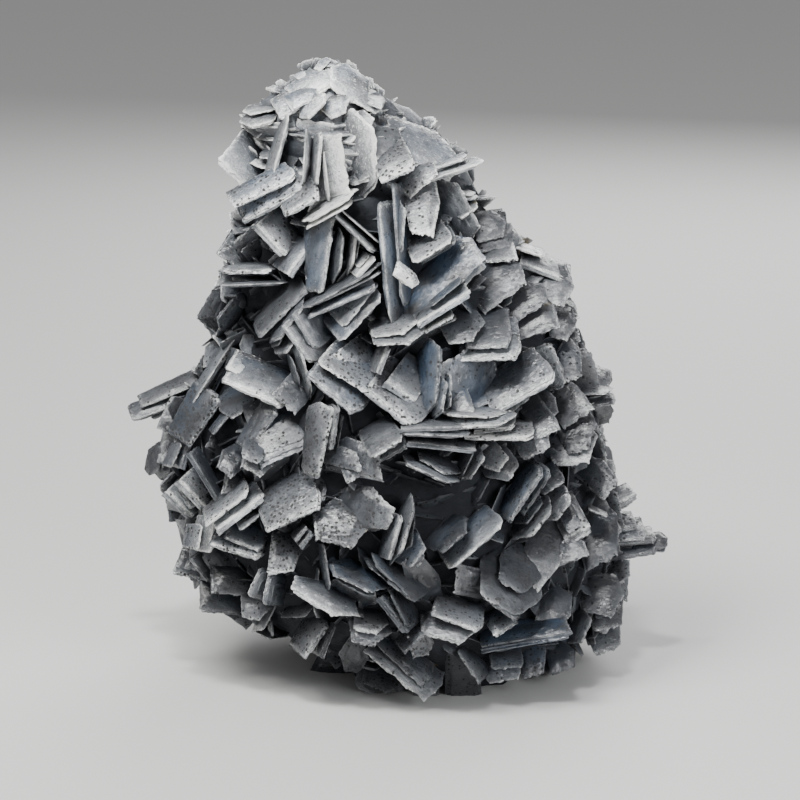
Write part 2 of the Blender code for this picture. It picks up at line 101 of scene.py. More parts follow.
def pick(thing=None):
    """One thing selected and active, or nothing selected, in object mode."""
    if bpy.context.object and bpy.context.object.mode == "EDIT":
        bpy.ops.object.mode_set(mode="OBJECT")
    bpy.ops.object.select_all(action="DESELECT")
    if thing:
        thing.select_set(True)
        bpy.context.view_layer.objects.active = thing


def start_edit(thing):
    """One thing open in edit mode, with all of it selected."""
    pick(thing)
    bpy.ops.object.mode_set(mode="EDIT")
    bpy.ops.mesh.select_all(action="SELECT")


def end_edit():
    """Back to object mode."""
    bpy.ops.object.mode_set(mode="OBJECT")


def cut_below(height):
    """Cuts off what is selected below a height, and closes the cut."""
    bpy.ops.mesh.bisect(plane_co=(0, 0, height), plane_no=(0, 0, 1), clear_inner=True,
                        use_fill=True)


def apply_modifier(thing, modifier):
    """Makes what a modifier does part of the mesh."""
    bpy.context.view_layer.objects.active = thing
    bpy.ops.object.modifier_apply(modifier=modifier.name)


def displace(thing, name, kind, grain, strength, middle=0.5, group=""):
    """Pushes a surface in and out by a cloud or cell pattern, and applies it."""
    pattern = bpy.data.textures.new(name, kind)
    pattern.noise_scale = grain
    push = thing.modifiers.new(name, "DISPLACE")
    push.texture = pattern
    push.texture_coords = "LOCAL"
    push.strength = strength
    push.mid_level = middle
    push.vertex_group = group
    apply_modifier(thing, push)


pick()
bpy.ops.mesh.primitive_cylinder_add(vertices=CORE_SIDES, radius=1, depth=CORE_TOP,
                                    location=(0, 0, CORE_TOP / 2))
core = bpy.context.object
core.name = "core_mass"
bpy.ops.object.transform_apply()
start_edit(core)
for story in range(1, CORE_STORIES):
    bpy.ops.mesh.select_all(action="SELECT")
    bpy.ops.mesh.bisect(plane_co=(0, 0, CORE_TOP * story / CORE_STORIES), plane_no=(0, 0, 1))
end_edit()
for vertex in core.data.vertices:
    x, half_width, y, half_depth = mound_ring(vertex.co.z)
    crown = max(0, vertex.co.z / CORE_TOP - CROWN_FOOT)
    setback = CORE_SETBACK * (1 - CROWN_RISE * crown / CROWN_SHARE)
    vertex.co.x = x + vertex.co.x * max(half_width - setback, MM)
    vertex.co.y = y + vertex.co.y * max(half_depth - setback, MM)
displace(core, "core_steps", "VORONOI", STEP_SIZE, STEP_DEPTH, 0.6)
displace(core, "core_grain", "CLOUDS", GRAIN_SIZE, GRAIN_DEPTH)
start_edit(core)
cut_below(FOOT_CUT)
end_edit()
for vertex in core.data.vertices:
    if vertex.co.z < FOOT_REACH:
        vertex.co.z = 0


class NodeDesk:
    """A material's nodes, added and joined by short calls."""

    def __init__(self, name):
        self.material = bpy.data.materials.new(name)
        self.material.use_nodes = True
        self.nodes = self.material.node_tree.nodes
        self.links = self.material.node_tree.links
        self.shader = self.nodes["Principled BSDF"]

    def put(self, node, inputs):
        """Fills a node's inputs: a link to another node's output, or the socket's own value."""
        for key, value in inputs.items():
            if isinstance(value, bpy.types.NodeSocket):
                self.links.new(value, node.inputs[key])
            else:
                node.inputs[key].default_value = value

    def add(self, kind, inputs, **settings):
        """A new node with its settings and its inputs, each given by its name or its place."""
        node = self.nodes.new("ShaderNode" + kind)
        for name, value in settings.items():
            setattr(node, name, value)
        self.put(node, inputs)
        return node

    def attribute(self, name):
        """The vector of a mesh attribute."""
        return self.add("Attribute", {}, attribute_name=name).outputs["Vector"]

    def part(self, vector, axis):
        """One number out of a vector."""
        return self.add("SeparateXYZ", {0: vector}).outputs[axis]

    def cells(self, vector, scale):
        """The outputs of a pattern of closely packed cells."""
        return self.add("TexVoronoi", {"Vector": vector, "Scale": scale}).outputs

    def facets(self, vector, scale):
        """Small tilted faces: a relief in metres, and a number from 0 to 1 for each face."""
        cells = self.cells(vector, scale)
        middle = (0.5, 0.5, 0.5)
        lean = self.add("VectorMath", {0: cells["Color"], 1: middle}, operation="SUBTRACT")
        offset = self.add("VectorMath", {0: vector, 1: cells["Position"]}, operation="SUBTRACT")
        pair = {0: lean.outputs["Vector"], 1: offset.outputs["Vector"]}
        relief = self.add("VectorMath", pair, operation="DOT_PRODUCT").outputs["Value"]
        return relief, self.part(cells["Color"], 1)

    def stretch(self, vector, scale):
        """A pattern's coordinates, scaled on each axis."""
        return self.add("Mapping", {"Vector": vector, "Scale": scale}).outputs[0]

    def noise(self, vector, scale, detail, rough):
        """Cloudy noise from 0 to 1."""
        inputs = {"Vector": vector, "Scale": scale, "Detail": detail, "Roughness": rough}
        return self.add("TexNoise", inputs).outputs["Fac"]

    def math(self, operation, first, second, third=0.0, clamp=False):
        """Arithmetic on numbers."""
        inputs = {0: first, 1: second, 2: third}
        return self.add("Math", inputs, operation=operation, use_clamp=clamp).outputs[0]

    def minus(self, first, second):
        """One number less another."""
        return self.math("SUBTRACT", first, second)

    def times(self, first, second):
        """The product of two numbers."""
        return self.math("MULTIPLY", first, second)

    def over(self, value, share, base, clamp=False):
        """A share of a number on top of another."""
        return self.math("MULTIPLY_ADD", value, share, base, clamp)

    def fit(self, value, low, high, to_low=0.0, to_high=1.0):
        """Maps a range to another, held at its ends."""
        inputs = {0: value, 1: low, 2: high, 3: to_low, 4: to_high}
        return self.add("MapRange", inputs).outputs[0]

    def ramp(self, value, stops):
        """A colour ramp: each stop is its place and its colour."""
        node = self.add("ValToRGB", {0: value})
        band = node.color_ramp.elements
        while len(band) < len(stops):
            band.new(1)
        for element, (place, colour) in zip(band, stops):
            element.position = place
            element.color = (*colour, 1)
        return node.outputs["Color"]

    def tinge(self, share, stone, colour):
        """A share of a colour over the stone's own."""
        inputs = {0: share, 6: stone, 7: (*colour, 1)}
        return self.add("Mix", inputs, data_type="RGBA").outputs[2]

    def bump(self, height, distance, strength, below=None):
        """Relief from a height, over other relief."""
        inputs = {"Height": height, "Distance": distance, "Strength": strength}
        if below:
            inputs["Normal"] = below
        return self.add("Bump", inputs).outputs[0]


SLATE = (0.020, 0.022, 0.026)
DUSK = (0.046, 0.049, 0.055)
ASH = (0.096, 0.101, 0.109)
PALE = (0.190, 0.197, 0.203)
ICE = (0.41, 0.42, 0.425)
MILK = (0.76, 0.76, 0.74)
SHADES = [(0, SLATE), (0.24, DUSK), (0.46, ASH), (0.68, PALE), (0.86, ICE), (1, MILK)]
# white of frosted crystal, and of painted glints
FROST_AND_GLINT = (0.93, 0.92, 0.88)
DEEP_BLUE = (0.035, 0.080, 0.150)
RUST = (0.42, 0.29, 0.09)
SOOT = (0.004, 0.004, 0.004)


def barite_finish(name):
    """Waxy blue-grey barite: grain along each blade, pale edges that are partly chipped and partly
    painted highlight, painted shade at the roots and deep in the mound, and black specks.
    """
    desk = NodeDesk(name)
    grain = desk.attribute("grain")
    look = desk.attribute("look")
    edge = desk.attribute("edge")
    tone, blue, specks = (desk.part(look, axis) for axis in range(3))
    rim, free, painted_shade = (desk.part(edge, axis) for axis in range(3))

    fibres = desk.noise(desk.stretch(grain, (420, 1200, 1600)), 1, 4, 0.62)
    blotches = desk.noise(grain, 380, 6, 0.68)
    clouds = desk.noise(desk.stretch(grain, (1, 1.6, 1)), 110, 2, 0.5)
    flecks = desk.noise(desk.stretch(grain, (1000, 2000, 2000)), 1, 3, 0.70)
    frost = desk.noise(grain, 1900, 3, 0.7)
    grit = desk.noise(grain, 2900, 2, 0.7)
    lengthwise = desk.stretch(grain, (0.6, 1, 1))
    flake_relief, flake = desk.facets(lengthwise, 1400)
    step_relief, step = desk.facets(lengthwise, 420)

    # each pattern, and how much it lightens and darkens the stone
    shares = ((fibres, 0.26), (blotches, 0.26), (clouds, 0.70), (grit, 0.75), (flake, 0.12),
              (step, 0.10))
    # Painted shade: each blade is darker towards its root, where it grows into the mass, and paler
    # towards its free edge.
    light = desk.over(desk.minus(free, 0.66), 0.58, tone)
    for pattern, share in shares:
        light = desk.over(desk.minus(pattern, 0.5), share, light)
    # Painted shade in the hollows: the deeper a point lies in the mound, the darker it is. The same
    # depth also holds back its frosting and dulls its reflections below.
    light = desk.over(painted_shade, -0.46, light)
    # Pale rims: partly the whiter chipped edge, partly a painted highlight where edges catch the
    # light.
    light = desk.over(desk.times(rim, frost), 0.60, light, clamp=True)
    stone = desk.ramp(light, SHADES)
    # Frosting: fine white grain, partly frosted crystal and partly painted glints, on the rims and
    # the paler blades.
    bright = desk.over(rim, 0.16, desk.over(tone, 0.26, flecks))
    frost_and_glints = desk.times(desk.fit(bright, 0.80, 0.90, 0, 0.9), desk.over(painted_shade, -0.8, 1))
    stone = desk.tinge(frost_and_glints, stone, FROST_AND_GLINT)

    tint = desk.times(blue, desk.fit(clouds, 0.35, 0.62))
    tint = desk.times(tint, desk.minus(1, desk.times(rim, 0.8)))
    stone = desk.tinge(desk.times(tint, 0.45), stone, DEEP_BLUE)

    place = desk.add("TexCoord", {}).outputs["Object"]
    stain = desk.fit(desk.noise(place, 75, 3, 0.6), 0.70, 0.76)
    stone = desk.tinge(desk.times(stain, 0.45), stone, RUST)

    cells = desk.cells(place, 1000)
    crowd = desk.fit(desk.noise(place, 240, 3, 0.6), 0.34, 0.58)
    wanted = desk.fit(desk.times(specks, desk.math("ADD", crowd, 0.4)), 0.14, 1.35)
    chosen = desk.math("LESS_THAN", desk.part(cells["Color"], 0), wanted)
    ragged = desk.over(frost, 0.5, desk.minus(cells["Distance"], 0.25))
    ragged = desk.over(desk.part(cells["Color"], 2), 0.24, ragged)
    speck = desk.times(desk.fit(ragged, 0.46, 0.52, 1, 0), chosen)
    stone = desk.tinge(desk.times(speck, 0.96), stone, SOOT)

    waxy = desk.over(flake, 0.08, desk.fit(blotches, 0.3, 0.7, 0.20, 0.38))
    waxy = desk.over(painted_shade, 0.45, desk.over(speck, 0.5, waxy))
    relief = desk.bump(blotches, 0.30 * MM, 0.5)
    relief = desk.bump(step_relief, 0.12, 1.0, relief)
    relief = desk.bump(flake_relief, 0.26, 1.0, relief)
    relief = desk.bump(fibres, 0.09 * MM, 0.8, relief)
    relief = desk.bump(grit, 0.05 * MM, 1.0, relief)
    desk.put(desk.shader, {
        "Base Color": stone,
        "Roughness": waxy,
        "Specular IOR Level": desk.over(painted_shade, -0.58, 0.7),
        "Normal": relief,
        "Subsurface Weight": 0.18,
        "Subsurface Radius": (1.0, 1.05, 1.15),
        "Subsurface Scale": 0.9 * MM,
        "IOR": 1.64,
    })
    return desk.material


def set_vectors(mesh, name, values):
    """A vector for each point of a mesh."""
    attribute = mesh.attributes.new(name, "FLOAT_VECTOR", "POINT")
    attribute.data.foreach_set("vector", np.asarray(values, dtype=np.float32).ravel())


def mesh_points(mesh):
    """All points of a mesh, one row each."""
    points = np.empty(len(mesh.vertices) * 3, dtype=np.float32)
    mesh.vertices.foreach_get("co", points)
    return points.reshape(-1, 3)


BARITE = barite_finish("barite")
SMOOTH_BELOW = math.radians(30)


def finish_piece(piece):
    """Gives a finished piece its mineral and its place in the frame."""
    pick(piece)
    bpy.ops.object.shade_smooth_by_angle(angle=SMOOTH_BELOW)
    piece.data.materials.clear()
    piece.data.materials.append(BARITE)
    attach(piece, "root")
    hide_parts("barite_cluster")


# The mass is painted as shade: a dark tone and full painted shade depth, both less towards the
# crown, where it lies near the surface.
core_points = mesh_points(core.data)
crown_share = np.clip(core_points[:, 2] / CORE_TOP - 0.78, 0, 0.2) / 0.2
none = 0 * crown_share
set_vectors(core.data, "grain", core_points)
set_vectors(core.data, "look", np.column_stack((crown_share * 0.9 - 0.25, crown_share * 0.4, none)))
set_vectors(core.data, "edge", np.column_stack((none, none + 0.6, 1 - crown_share)))
finish_piece(core)


# Crystals to copy. Barite grows as flat tables and laths, each a stack of thin leaves with a groove
# between them, thick at its root and broken, chipped or worn thin along its free edge.
T, L, C, F, S = "tablet", "lath", "chisel", "fan", "shard"
OUTLINES = {
    T: ((-.50, .04), (-.34, -.46), (.30, -.50), (.50, -.06), (.33, .48), (-.30, .50)),
    L: ((-.50, -.44), (.44, -.50), (.50, .34), (.40, .50), (-.47, .46)),
    C: ((-.50, -.26), (.38, -.50), (.50, -.10), (.44, .46), (-.50, .34)),
    F: ((-.50, -.14), (-.16, -.50), (.36, -.42), (.50, .06), (.22, .50), (-.40, .38)),
    S: ((-.50, -.36), (.10, -.50), (.50, -.20), (.42, .32), (-.30, .50)),
}
CRYSTAL_SIZE = Vector((22, 12, 3)) * MM
# leaves in the stack, raggedness of the outline, how far the leaves' ends are staggered, depth of
# the chips along the rim, share of thickness left at the rim, and bow
Habit = namedtuple("Habit", "leaves ragged stagger chips edge_thickness bow")
HABITS = {
    T: Habit(2, 1.0, 0.06, 0.85, 0.36, 0.8),
    L: Habit(3, 0.8, 0.10, 0.65, 0.46, 0.5),
    C: Habit(2, 1.1, 0.08, 0.85, 0.28, 1.3),
    F: Habit(2, 1.7, 0.06, 1.00, 0.18, 2.0),
    S: Habit(2, 1.4, 0.08, 0.80, 0.22, 1.6),
}
VARIANTS = 4
STRAY = 0.06  # how far the corners of the later variants stray
TRIANGLES = 1600
RIM_WIDTH = 1.0 * MM
WEDGE_WIDTH = 3.2 * MM  # over which a crystal grows thinner towards its rim
WEDGE_CURVE = 0.7
SKIN = 0.24 * MM  # size of the cells that the stacked leaves are fused from
CORNER_ROUNDING = 0.7 * MM
STREAK = 0.55  # how far it is pressed together while its lengthwise streaks form
CHIP_REACH = 2.2 * MM
CHIP_SIZE = 2.6 * MM
LUMPS = (6.0 * MM, 0.9 * MM)  # size and depth, as for the next two
STREAKS = (1.8 * MM, 0.20 * MM)
SPLITS = (2.2 * MM, 0.12 * MM)


def raise_face(rise, scale_x=1.0, scale_y=1.0, shift=(0, 0)):
    """Extrudes what is selected upwards, and scales and shifts it level."""
    bpy.ops.mesh.extrude_region_move(TRANSFORM_OT_translate={"value": (*shift, rise)})
    if (scale_x, scale_y) != (1.0, 1.0):
        bpy.ops.transform.resize(value=(scale_x, scale_y, 1))


def rim_distance(points, outline):
    """How far each point lies from the outline's nearest side, seen from above."""
    nearest = np.full(len(points), 1.0)
    for start, end in zip(outline, np.roll(outline, -1, axis=0)):
        side = end - start
        share = np.clip(((points - start) @ side) / (side @ side), 0, 1)
        gap = np.linalg.norm(points - (start + share[:, None] * side), axis=1)
        nearest = np.minimum(nearest, gap)
    return nearest


def scale_along(thing, factor):
    """Stretches or presses a crystal along its length, and applies it."""
    thing.scale.x = factor
    pick(thing)
    bpy.ops.object.transform_apply(location=False, rotation=False)


def model_crystal(kind, variant):
    """One crystal about the origin, one unit each way: long along X, free edge at +Y, face up."""
    habit = HABITS[kind]
    rng = random.Random(f"{kind} {variant}")
    corners = OUTLINES[kind]
    stray = STRAY if variant else 0
    pick()
    bpy.ops.mesh.primitive_circle_add(vertices=len(corners), radius=1, fill_type="NOTHING")
    crystal = bpy.context.object
    crystal.name = f"{kind}_{variant}"
    for vertex, (u, v) in zip(crystal.data.vertices, corners):
        u, v = u + rng.uniform(-stray, stray), v + rng.uniform(-stray, stray)
        vertex.co = (u * CRYSTAL_SIZE.x, v * CRYSTAL_SIZE.y, 0)
    start_edit(crystal)
    bpy.ops.mesh.bevel(offset=CORNER_ROUNDING, segments=2, affect="VERTICES")
    bpy.ops.mesh.subdivide(number_cuts=3, fractal=habit.ragged, seed=rng.randrange(99))
    bpy.ops.transform.resize(value=(1, 1, 0))
    bpy.ops.mesh.edge_face_add()
    end_edit()
    ring = mesh_points(crystal.data)[:, :2]
    outline = ring[[loop.vertex_index for loop in crystal.data.loops]].astype(float)
    leaf = CRYSTAL_SIZE.z / habit.leaves
    start_edit(crystal)
    for number in range(habit.leaves):
        raise_face(leaf * rng.uniform(0.65, 0.9))
        if number < habit.leaves - 1:
            raise_face(0, rng.uniform(0.90, 0.94), rng.uniform(0.84, 0.90))
            raise_face(leaf * 0.18)
            raise_face(0, 1 / 0.92 + rng.uniform(-habit.stagger, habit.stagger),
                       1 / 0.87 + rng.uniform(-habit.stagger, habit.stagger),
                       (rng.uniform(-1.2, 1.2) * MM, rng.uniform(-0.6, 0.6) * MM))
    for terrace in range(2):
        raise_face(0, rng.uniform(0.62, 0.86), rng.uniform(0.55, 0.8),
                   (rng.uniform(-2, 2) * MM, rng.uniform(-1, 1) * MM))
        raise_face(rng.uniform(0.25, 0.5) * MM)
    bpy.ops.mesh.select_all(action="SELECT")
    bpy.ops.mesh.normals_make_consistent(inside=False)
    end_edit()
    fuse = crystal.modifiers.new("fused leaves", "REMESH")
    fuse.mode = "VOXEL"
    fuse.voxel_size = SKIN
    apply_modifier(crystal, fuse)

    distance = rim_distance(mesh_points(crystal.data)[:, :2].astype(float), outline)
    rim_group = crystal.vertex_groups.new(name="rim")
    for vertex, gap in zip(crystal.data.vertices, distance):
        rim_group.add([vertex.index], float(np.clip(1 - gap / CHIP_REACH, 0, 1)), "REPLACE")
    displace(crystal, crystal.name + "_chips", "VORONOI", CHIP_SIZE, -habit.chips * MM, 0.3, "rim")
    displace(crystal, crystal.name + "_lumps", "CLOUDS", *LUMPS)
    scale_along(crystal, STREAK)
    displace(crystal, crystal.name + "_streaks", "CLOUDS", *STREAKS)
    displace(crystal, crystal.name + "_splits", "VORONOI", *SPLITS)
    scale_along(crystal, 1 / STREAK)
    plain = crystal.modifiers.new("facets", "DECIMATE")
    crystal.data.calc_loop_triangles()
    plain.ratio = TRIANGLES / len(crystal.data.loop_triangles)
    apply_modifier(crystal, plain)

    points = mesh_points(crystal.data)
    gap = rim_distance(points[:, :2].astype(float), outline)
    rim = 1 - np.clip(gap / RIM_WIDTH, 0, 1)
    free = np.clip(points[:, 1] / CRYSTAL_SIZE.y + 0.5, 0, 1)
    inner = np.clip(gap / WEDGE_WIDTH, 0, 1) ** WEDGE_CURVE
    thin = habit.edge_thickness + (1 - habit.edge_thickness) * inner
    points[:, 2] = (points[:, 2] - points[:, 2].mean()) * thin
    bow = (points[:, 1] / CRYSTAL_SIZE.y + 0.2) ** 2 + 0.5 * (points[:, 0] / CRYSTAL_SIZE.x) ** 2
    points[:, 2] += habit.bow * MM * bow
    low, high = points.min(axis=0), points.max(axis=0)
    points = (points - (low + high) / 2) / (high - low)
    crystal.data.vertices.foreach_set("co", points.ravel())
    set_vectors(crystal.data, "edge", np.column_stack((rim, free, np.zeros(len(points)))))
    crystal.data.update()
    return crystal


CRYSTALS = {kind: [model_crystal(kind, variant) for variant in range(VARIANTS)]
            for kind in OUTLINES}


def plainer_copy(crystal, share):
    """A copy of a crystal with a share of its triangles."""
    plainer = crystal.copy()
    plainer.data = crystal.data.copy()
    bpy.context.collection.objects.link(plainer)
    pick()
    decimate = plainer.modifiers.new("plainer", "DECIMATE")
    decimate.ratio = share
    apply_modifier(plainer, decimate)
    return plainer


def plainer_crystals(share):
    """Plainer copies of all crystals, for thin leaves and for small blades."""
    return {kind: [plainer_copy(crystal, share) for crystal in crystals]
            for kind, crystals in CRYSTALS.items()}


LEAVES = plainer_crystals(0.4)
CHIPS = plainer_crystals(0.13)


# The crown. Pale broken plates stand steeply around the top, whitest at their chipped rims, which
# carry a painted highlight too; their paleness is partly painted light from above. Like all blades,
# each grows outward from the mass, so that its inner edge is buried in it.
PIXEL = 0.28 * MM  # one pixel of the photograph, at the middle of the cluster
EYE_DISTANCE = 950 * MM
LOOK_DOWN = math.radians(12)
FRAME_MIDDLE_PX = 400
BASE_PX_X = 400  # where the middle of the resting face lies in the photograph
BASE_PX_Y = 658
ROOT_SETBACK = 4.5 * MM
ROOT_DEPTH = 2 * MM
LEAST_TURN = math.radians(36)  # the flattest that a blade lies against the mass
SEARCH_STEP = 0.5 * MM
SEARCH_START = 75 * MM
SEARCH_END = -75 * MM
DEEPEST_ROOT = 30 * MM

RIGHT = Vector((1, 0, 0))
UP = Vector((0, math.sin(LOOK_DOWN), math.cos(LOOK_DOWN)))
NEAR = Vector((0, -math.cos(LOOK_DOWN), math.sin(LOOK_DOWN)))
AIM = ((FRAME_MIDDLE_PX - BASE_PX_X) * PIXEL * RIGHT
       + (BASE_PX_Y - FRAME_MIDDLE_PX) * PIXEL * UP)
EYE = AIM + NEAR * EYE_DISTANCE
LIT_SIDE = Matrix.Rotation(math.radians(30), 3, NEAR) @ UP

# A blade as the photograph shows it: x1, y1, x2, y2 are the pixels of the ends of its long axis,
# and width its true width in pixels. turn is the angle in degrees between its face and the viewer.
# out and thick, in millimetres, are how far its nearest edge stands proud of the mound, and its
# thickness. dip, where it is given, brings its right end nearer by that many degrees.
Blade = namedtuple("Blade", "x1 y1 x2 y2 width turn out thick outline dip", defaults=(0,))

# Where blades look unlike their neighbours: x and y in pixels, how far that reaches, and how much.
# The paler patches also hold painted highlights, such as the glints of a bright knot, and the
# darker ones painted shade in hollows.
PALER_AND_HIGHLIT = [
    (320, 85, 50, .26), (310, 118, 36, .20), (240, 152, 45, .18), (340, 160, 45, .22),
    (350, 118, 30, .25), (425, 145, 45, .22), (470, 165, 25, .30), (330, 208, 28, .42),
    (358, 262, 24, .30), (407, 273, 20, .45), (398, 338, 34, .22), (250, 378, 30, .24),
    (209, 527, 30, .42), (240, 512, 30, .25), (480, 424, 44, .24), (425, 476, 26, .26),
    (325, 602, 36, .26), (440, 630, 34, .24), (350, 345, 28, .24), (545, 258, 34, .20),
    (230, 282, 26, .20), (205, 385, 22, .22), (435, 322, 26, .26), (505, 350, 26, .16),
    (185, 500, 24, .24), (400, 530, 24, .16), (475, 545, 28, .18), (620, 500, 24, .18),
]
DARKER_AND_SHADED = [
    (438, 502, 50, .40), (500, 585, 30, .20), (255, 315, 40, .30), (400, 480, 40, .26),
    (445, 500, 40, .26), (345, 680, 45, .16), (560, 650, 60, .16), (220, 590, 50, .12),
    (410, 600, 50, .18), (600, 430, 36, .18), (300, 150, 22, .22), (545, 338, 26, .22),
    (330, 630, 34, .20), (600, 560, 50, .14), (385, 250, 30, .10), (455, 660, 50, .16),
]
BLUER = [
    (318, 250, 32, .7), (392, 262, 45, .9), (436, 285, 45, .8), (475, 378, 50, .6),
    (345, 385, 36, .6), (340, 315, 32, .6), (268, 196, 36, .7), (436, 376, 36, .8),
    (135, 405, 26, .8), (522, 492, 32, .6), (402, 556, 28, .6), (470, 545, 30, .5),
    (525, 634, 45, .6), (345, 580, 36, .5), (230, 152, 36, .6), (318, 92, 56, .9),
    (430, 150, 40, .6), (240, 375, 40, .5), (195, 430, 40, .4), (240, 525, 40, .4),
]
SPECKLED = [
    (396, 169, 30, .9), (424, 221, 28, 1.), (320, 440, 36, .8), (200, 425, 34, .8),
    (290, 510, 40, .8), (278, 548, 34, .7), (340, 668, 36, .6), (342, 522, 36, .7),
    (396, 405, 34, .8), (300, 200, 26, .7), (268, 196, 26, .6), (349, 364, 26, .6),
    (420, 646, 26, 1.), (235, 250, 30, .5), (522, 500, 30, .5), (480, 425, 30, .4),
    (388, 600, 34, .5), (445, 500, 30, .4), (530, 655, 40, .4),
]
CROWN_TONE = 0.70
BASE_TONE = 0.27
TONE_SPREAD = 0.13
TONE_MARK = 1.25  # how strongly the patches count for the tone, and for the rest
OTHER_MARK = 1.3
BLUE_EVERYWHERE = 0.25
SPECKS_EVERYWHERE = 0.30
# depth in the mound at which the painted shade of the hollows is full
PAINTED_SHADE_DEPTH = 8 * MM
PAIRED_SHARE = 0.4


def seen_point(px, py, nearness):
    """The point seen at a pixel, at a distance in front of the cluster's mid plane."""
    across = (px - FRAME_MIDDLE_PX) * PIXEL / EYE_DISTANCE
    upward = (FRAME_MIDDLE_PX - py) * PIXEL / EYE_DISTANCE
    sight = RIGHT * across + UP * upward - NEAR
    return EYE + sight * (EYE_DISTANCE - nearness)


def seen_pixel(point):
    """The pixel at which a point is seen."""
    sight = point - EYE
    scale = EYE_DISTANCE / PIXEL / sight.dot(-NEAR)
    return FRAME_MIDDLE_PX + sight.dot(RIGHT) * scale, FRAME_MIDDLE_PX - sight.dot(UP) * scale


def reach_in_mound(point):
    """Below 1 inside the mound, 1 on its surface, and more outside it."""
    x, half_width, y, half_depth = mound_ring(point.z)
    over = max(point.z - MOUND[-1].height * MM, 0) / half_width
    return math.hypot((point.x - x) / half_width, (point.y - y) / half_depth) + over


def mound_nearness(px, py):
    """How far in front of the mid plane the mound's surface, or its closest pass, is seen."""
    count = round((SEARCH_START - SEARCH_END) / SEARCH_STEP)
    steps = [SEARCH_START - SEARCH_STEP * number for number in range(count)]
    for nearness in steps:
        point = seen_point(px, py, nearness)
        if point.z >= 0 and reach_in_mound(point) < 1:
            return nearness
    return min(steps, key=lambda nearness: reach_in_mound(seen_point(px, py, nearness)))


def depth_below(point, inward):
    """How far a point must go inward to lie in the mass under the blades."""
    for number in range(round(DEEPEST_ROOT / SEARCH_STEP)):
        depth = number * SEARCH_STEP
        place = point + inward * depth
        x, half_width, y, half_depth = mound_ring(place.z)
        half_width = max(half_width - ROOT_SETBACK, SEARCH_STEP)
        half_depth = max(half_depth - ROOT_SETBACK, SEARCH_STEP)
        if math.hypot((place.x - x) / half_width, (place.y - y) / half_depth) < 1:
            return depth
    return 0


def rooted_blade(middle, along, across, length, width, thickness, outward):
    """A blade's transform, its free edge outward, widened inward until it grows from the mass."""
    along = along.normalized()
    free = (across if across.dot(outward) > 0 else -across).normalized()
    gap = depth_below(middle - free * width / 2, -free)
    reach = gap + ROOT_DEPTH if gap else 0
    turned = Matrix((along, free, along.cross(free))).transposed().to_4x4()
    size = Matrix.Diagonal((length, width + reach, thickness, 1))
    return Matrix.Translation(middle - free * reach / 2) @ turned @ size


def seen_blade(blade):
    """The transform of a blade read from the photograph."""
    dip = math.radians(blade.dip)
    turn = math.copysign(max(math.radians(abs(blade.turn)), LEAST_TURN), blade.turn)
    flat = RIGHT * (blade.x2 - blade.x1) - UP * (blade.y2 - blade.y1)
    span = flat.length * PIXEL
    flat.normalize()
    across = NEAR.cross(flat)
    if across.dot(LIT_SIDE) < 0:
        across.negate()
    along = flat * math.cos(dip) + NEAR * math.sin(dip)
    toward = NEAR * math.cos(dip) - flat * math.sin(dip)
    across = across * math.cos(turn) - toward * math.sin(turn)
    width = blade.width * PIXEL * math.cos(math.radians(blade.turn)) / math.cos(turn)
    px, py = (blade.x1 + blade.x2) / 2, (blade.y1 + blade.y2) / 2
    half_reach = (width * abs(math.sin(turn)) + span * math.tan(abs(dip))) / 2
    nearness = mound_nearness(px, py) + blade.out * MM - half_reach
    near_scale = (EYE_DISTANCE - nearness) / EYE_DISTANCE
    length = span / math.cos(dip) * near_scale
    return rooted_blade(seen_point(px, py, nearness), along, across, length, width * near_scale,
                        blade.thick * MM, NEAR)


def patch_amount(patches, px, py):
    """How strongly the patches mark a place."""
    return max(0, *(amount * (1 - (math.dist((px, py), (x, y)) / reach) ** 2)
                    for x, y, reach, amount in patches))


def blade_look(rng, middle, seen):
    """Tone, blueness and specks of a blade, by its height and, on the seen side, by the patches."""
    share = middle.z / (MOUND[-1].height * MM)
    # Paler towards the crown: partly the crown's own paler crystals, partly painted light from
    # above and painted shade low down.
    tone = BASE_TONE + (CROWN_TONE - BASE_TONE) * share ** 3
    tone += rng.uniform(-TONE_SPREAD, TONE_SPREAD)
    blue = rng.uniform(0, BLUE_EVERYWHERE)
    specks = rng.uniform(0, 2) * SPECKS_EVERYWHERE * (1 - share ** 2)
    if seen:
        tone_and_light_shift, darker_and_shaded, bluer, speckled = (patch_amount(patches, *seen_pixel(middle))
                                          for patches in (PALER_AND_HIGHLIT, DARKER_AND_SHADED, BLUER, SPECKLED))
        # The patches' paler and darker tones, with their painted highlights and painted shade, go
        # into the tone.
        tone += TONE_MARK * tone_and_light_shift - TONE_MARK * darker_and_shaded
        blue = max(blue, OTHER_MARK * bluer)
        specks = max(specks, OTHER_MARK * speckled)
    return min(tone, 1), min(blue, 1), min(specks, 1)


def mound_depths(points):
    """How deep points lie in the mound: 0 on its surface and outside, 1 at the depth where the
    painted shade is full.
    """
    columns = zip(*[[number * MM for number in ring] for ring in MOUND])
    heights, *sizes = (list(column) for column in columns)
    x, half_width, y, half_depth = (np.interp(points[:, 2], heights, size) for size in sizes)
    reach = np.hypot((points[:, 0] - x) / half_width, (points[:, 1] - y) / half_depth)
    return np.clip((1 - reach) * np.minimum(half_width, half_depth) / PAINTED_SHADE_DEPTH, 0, 1)


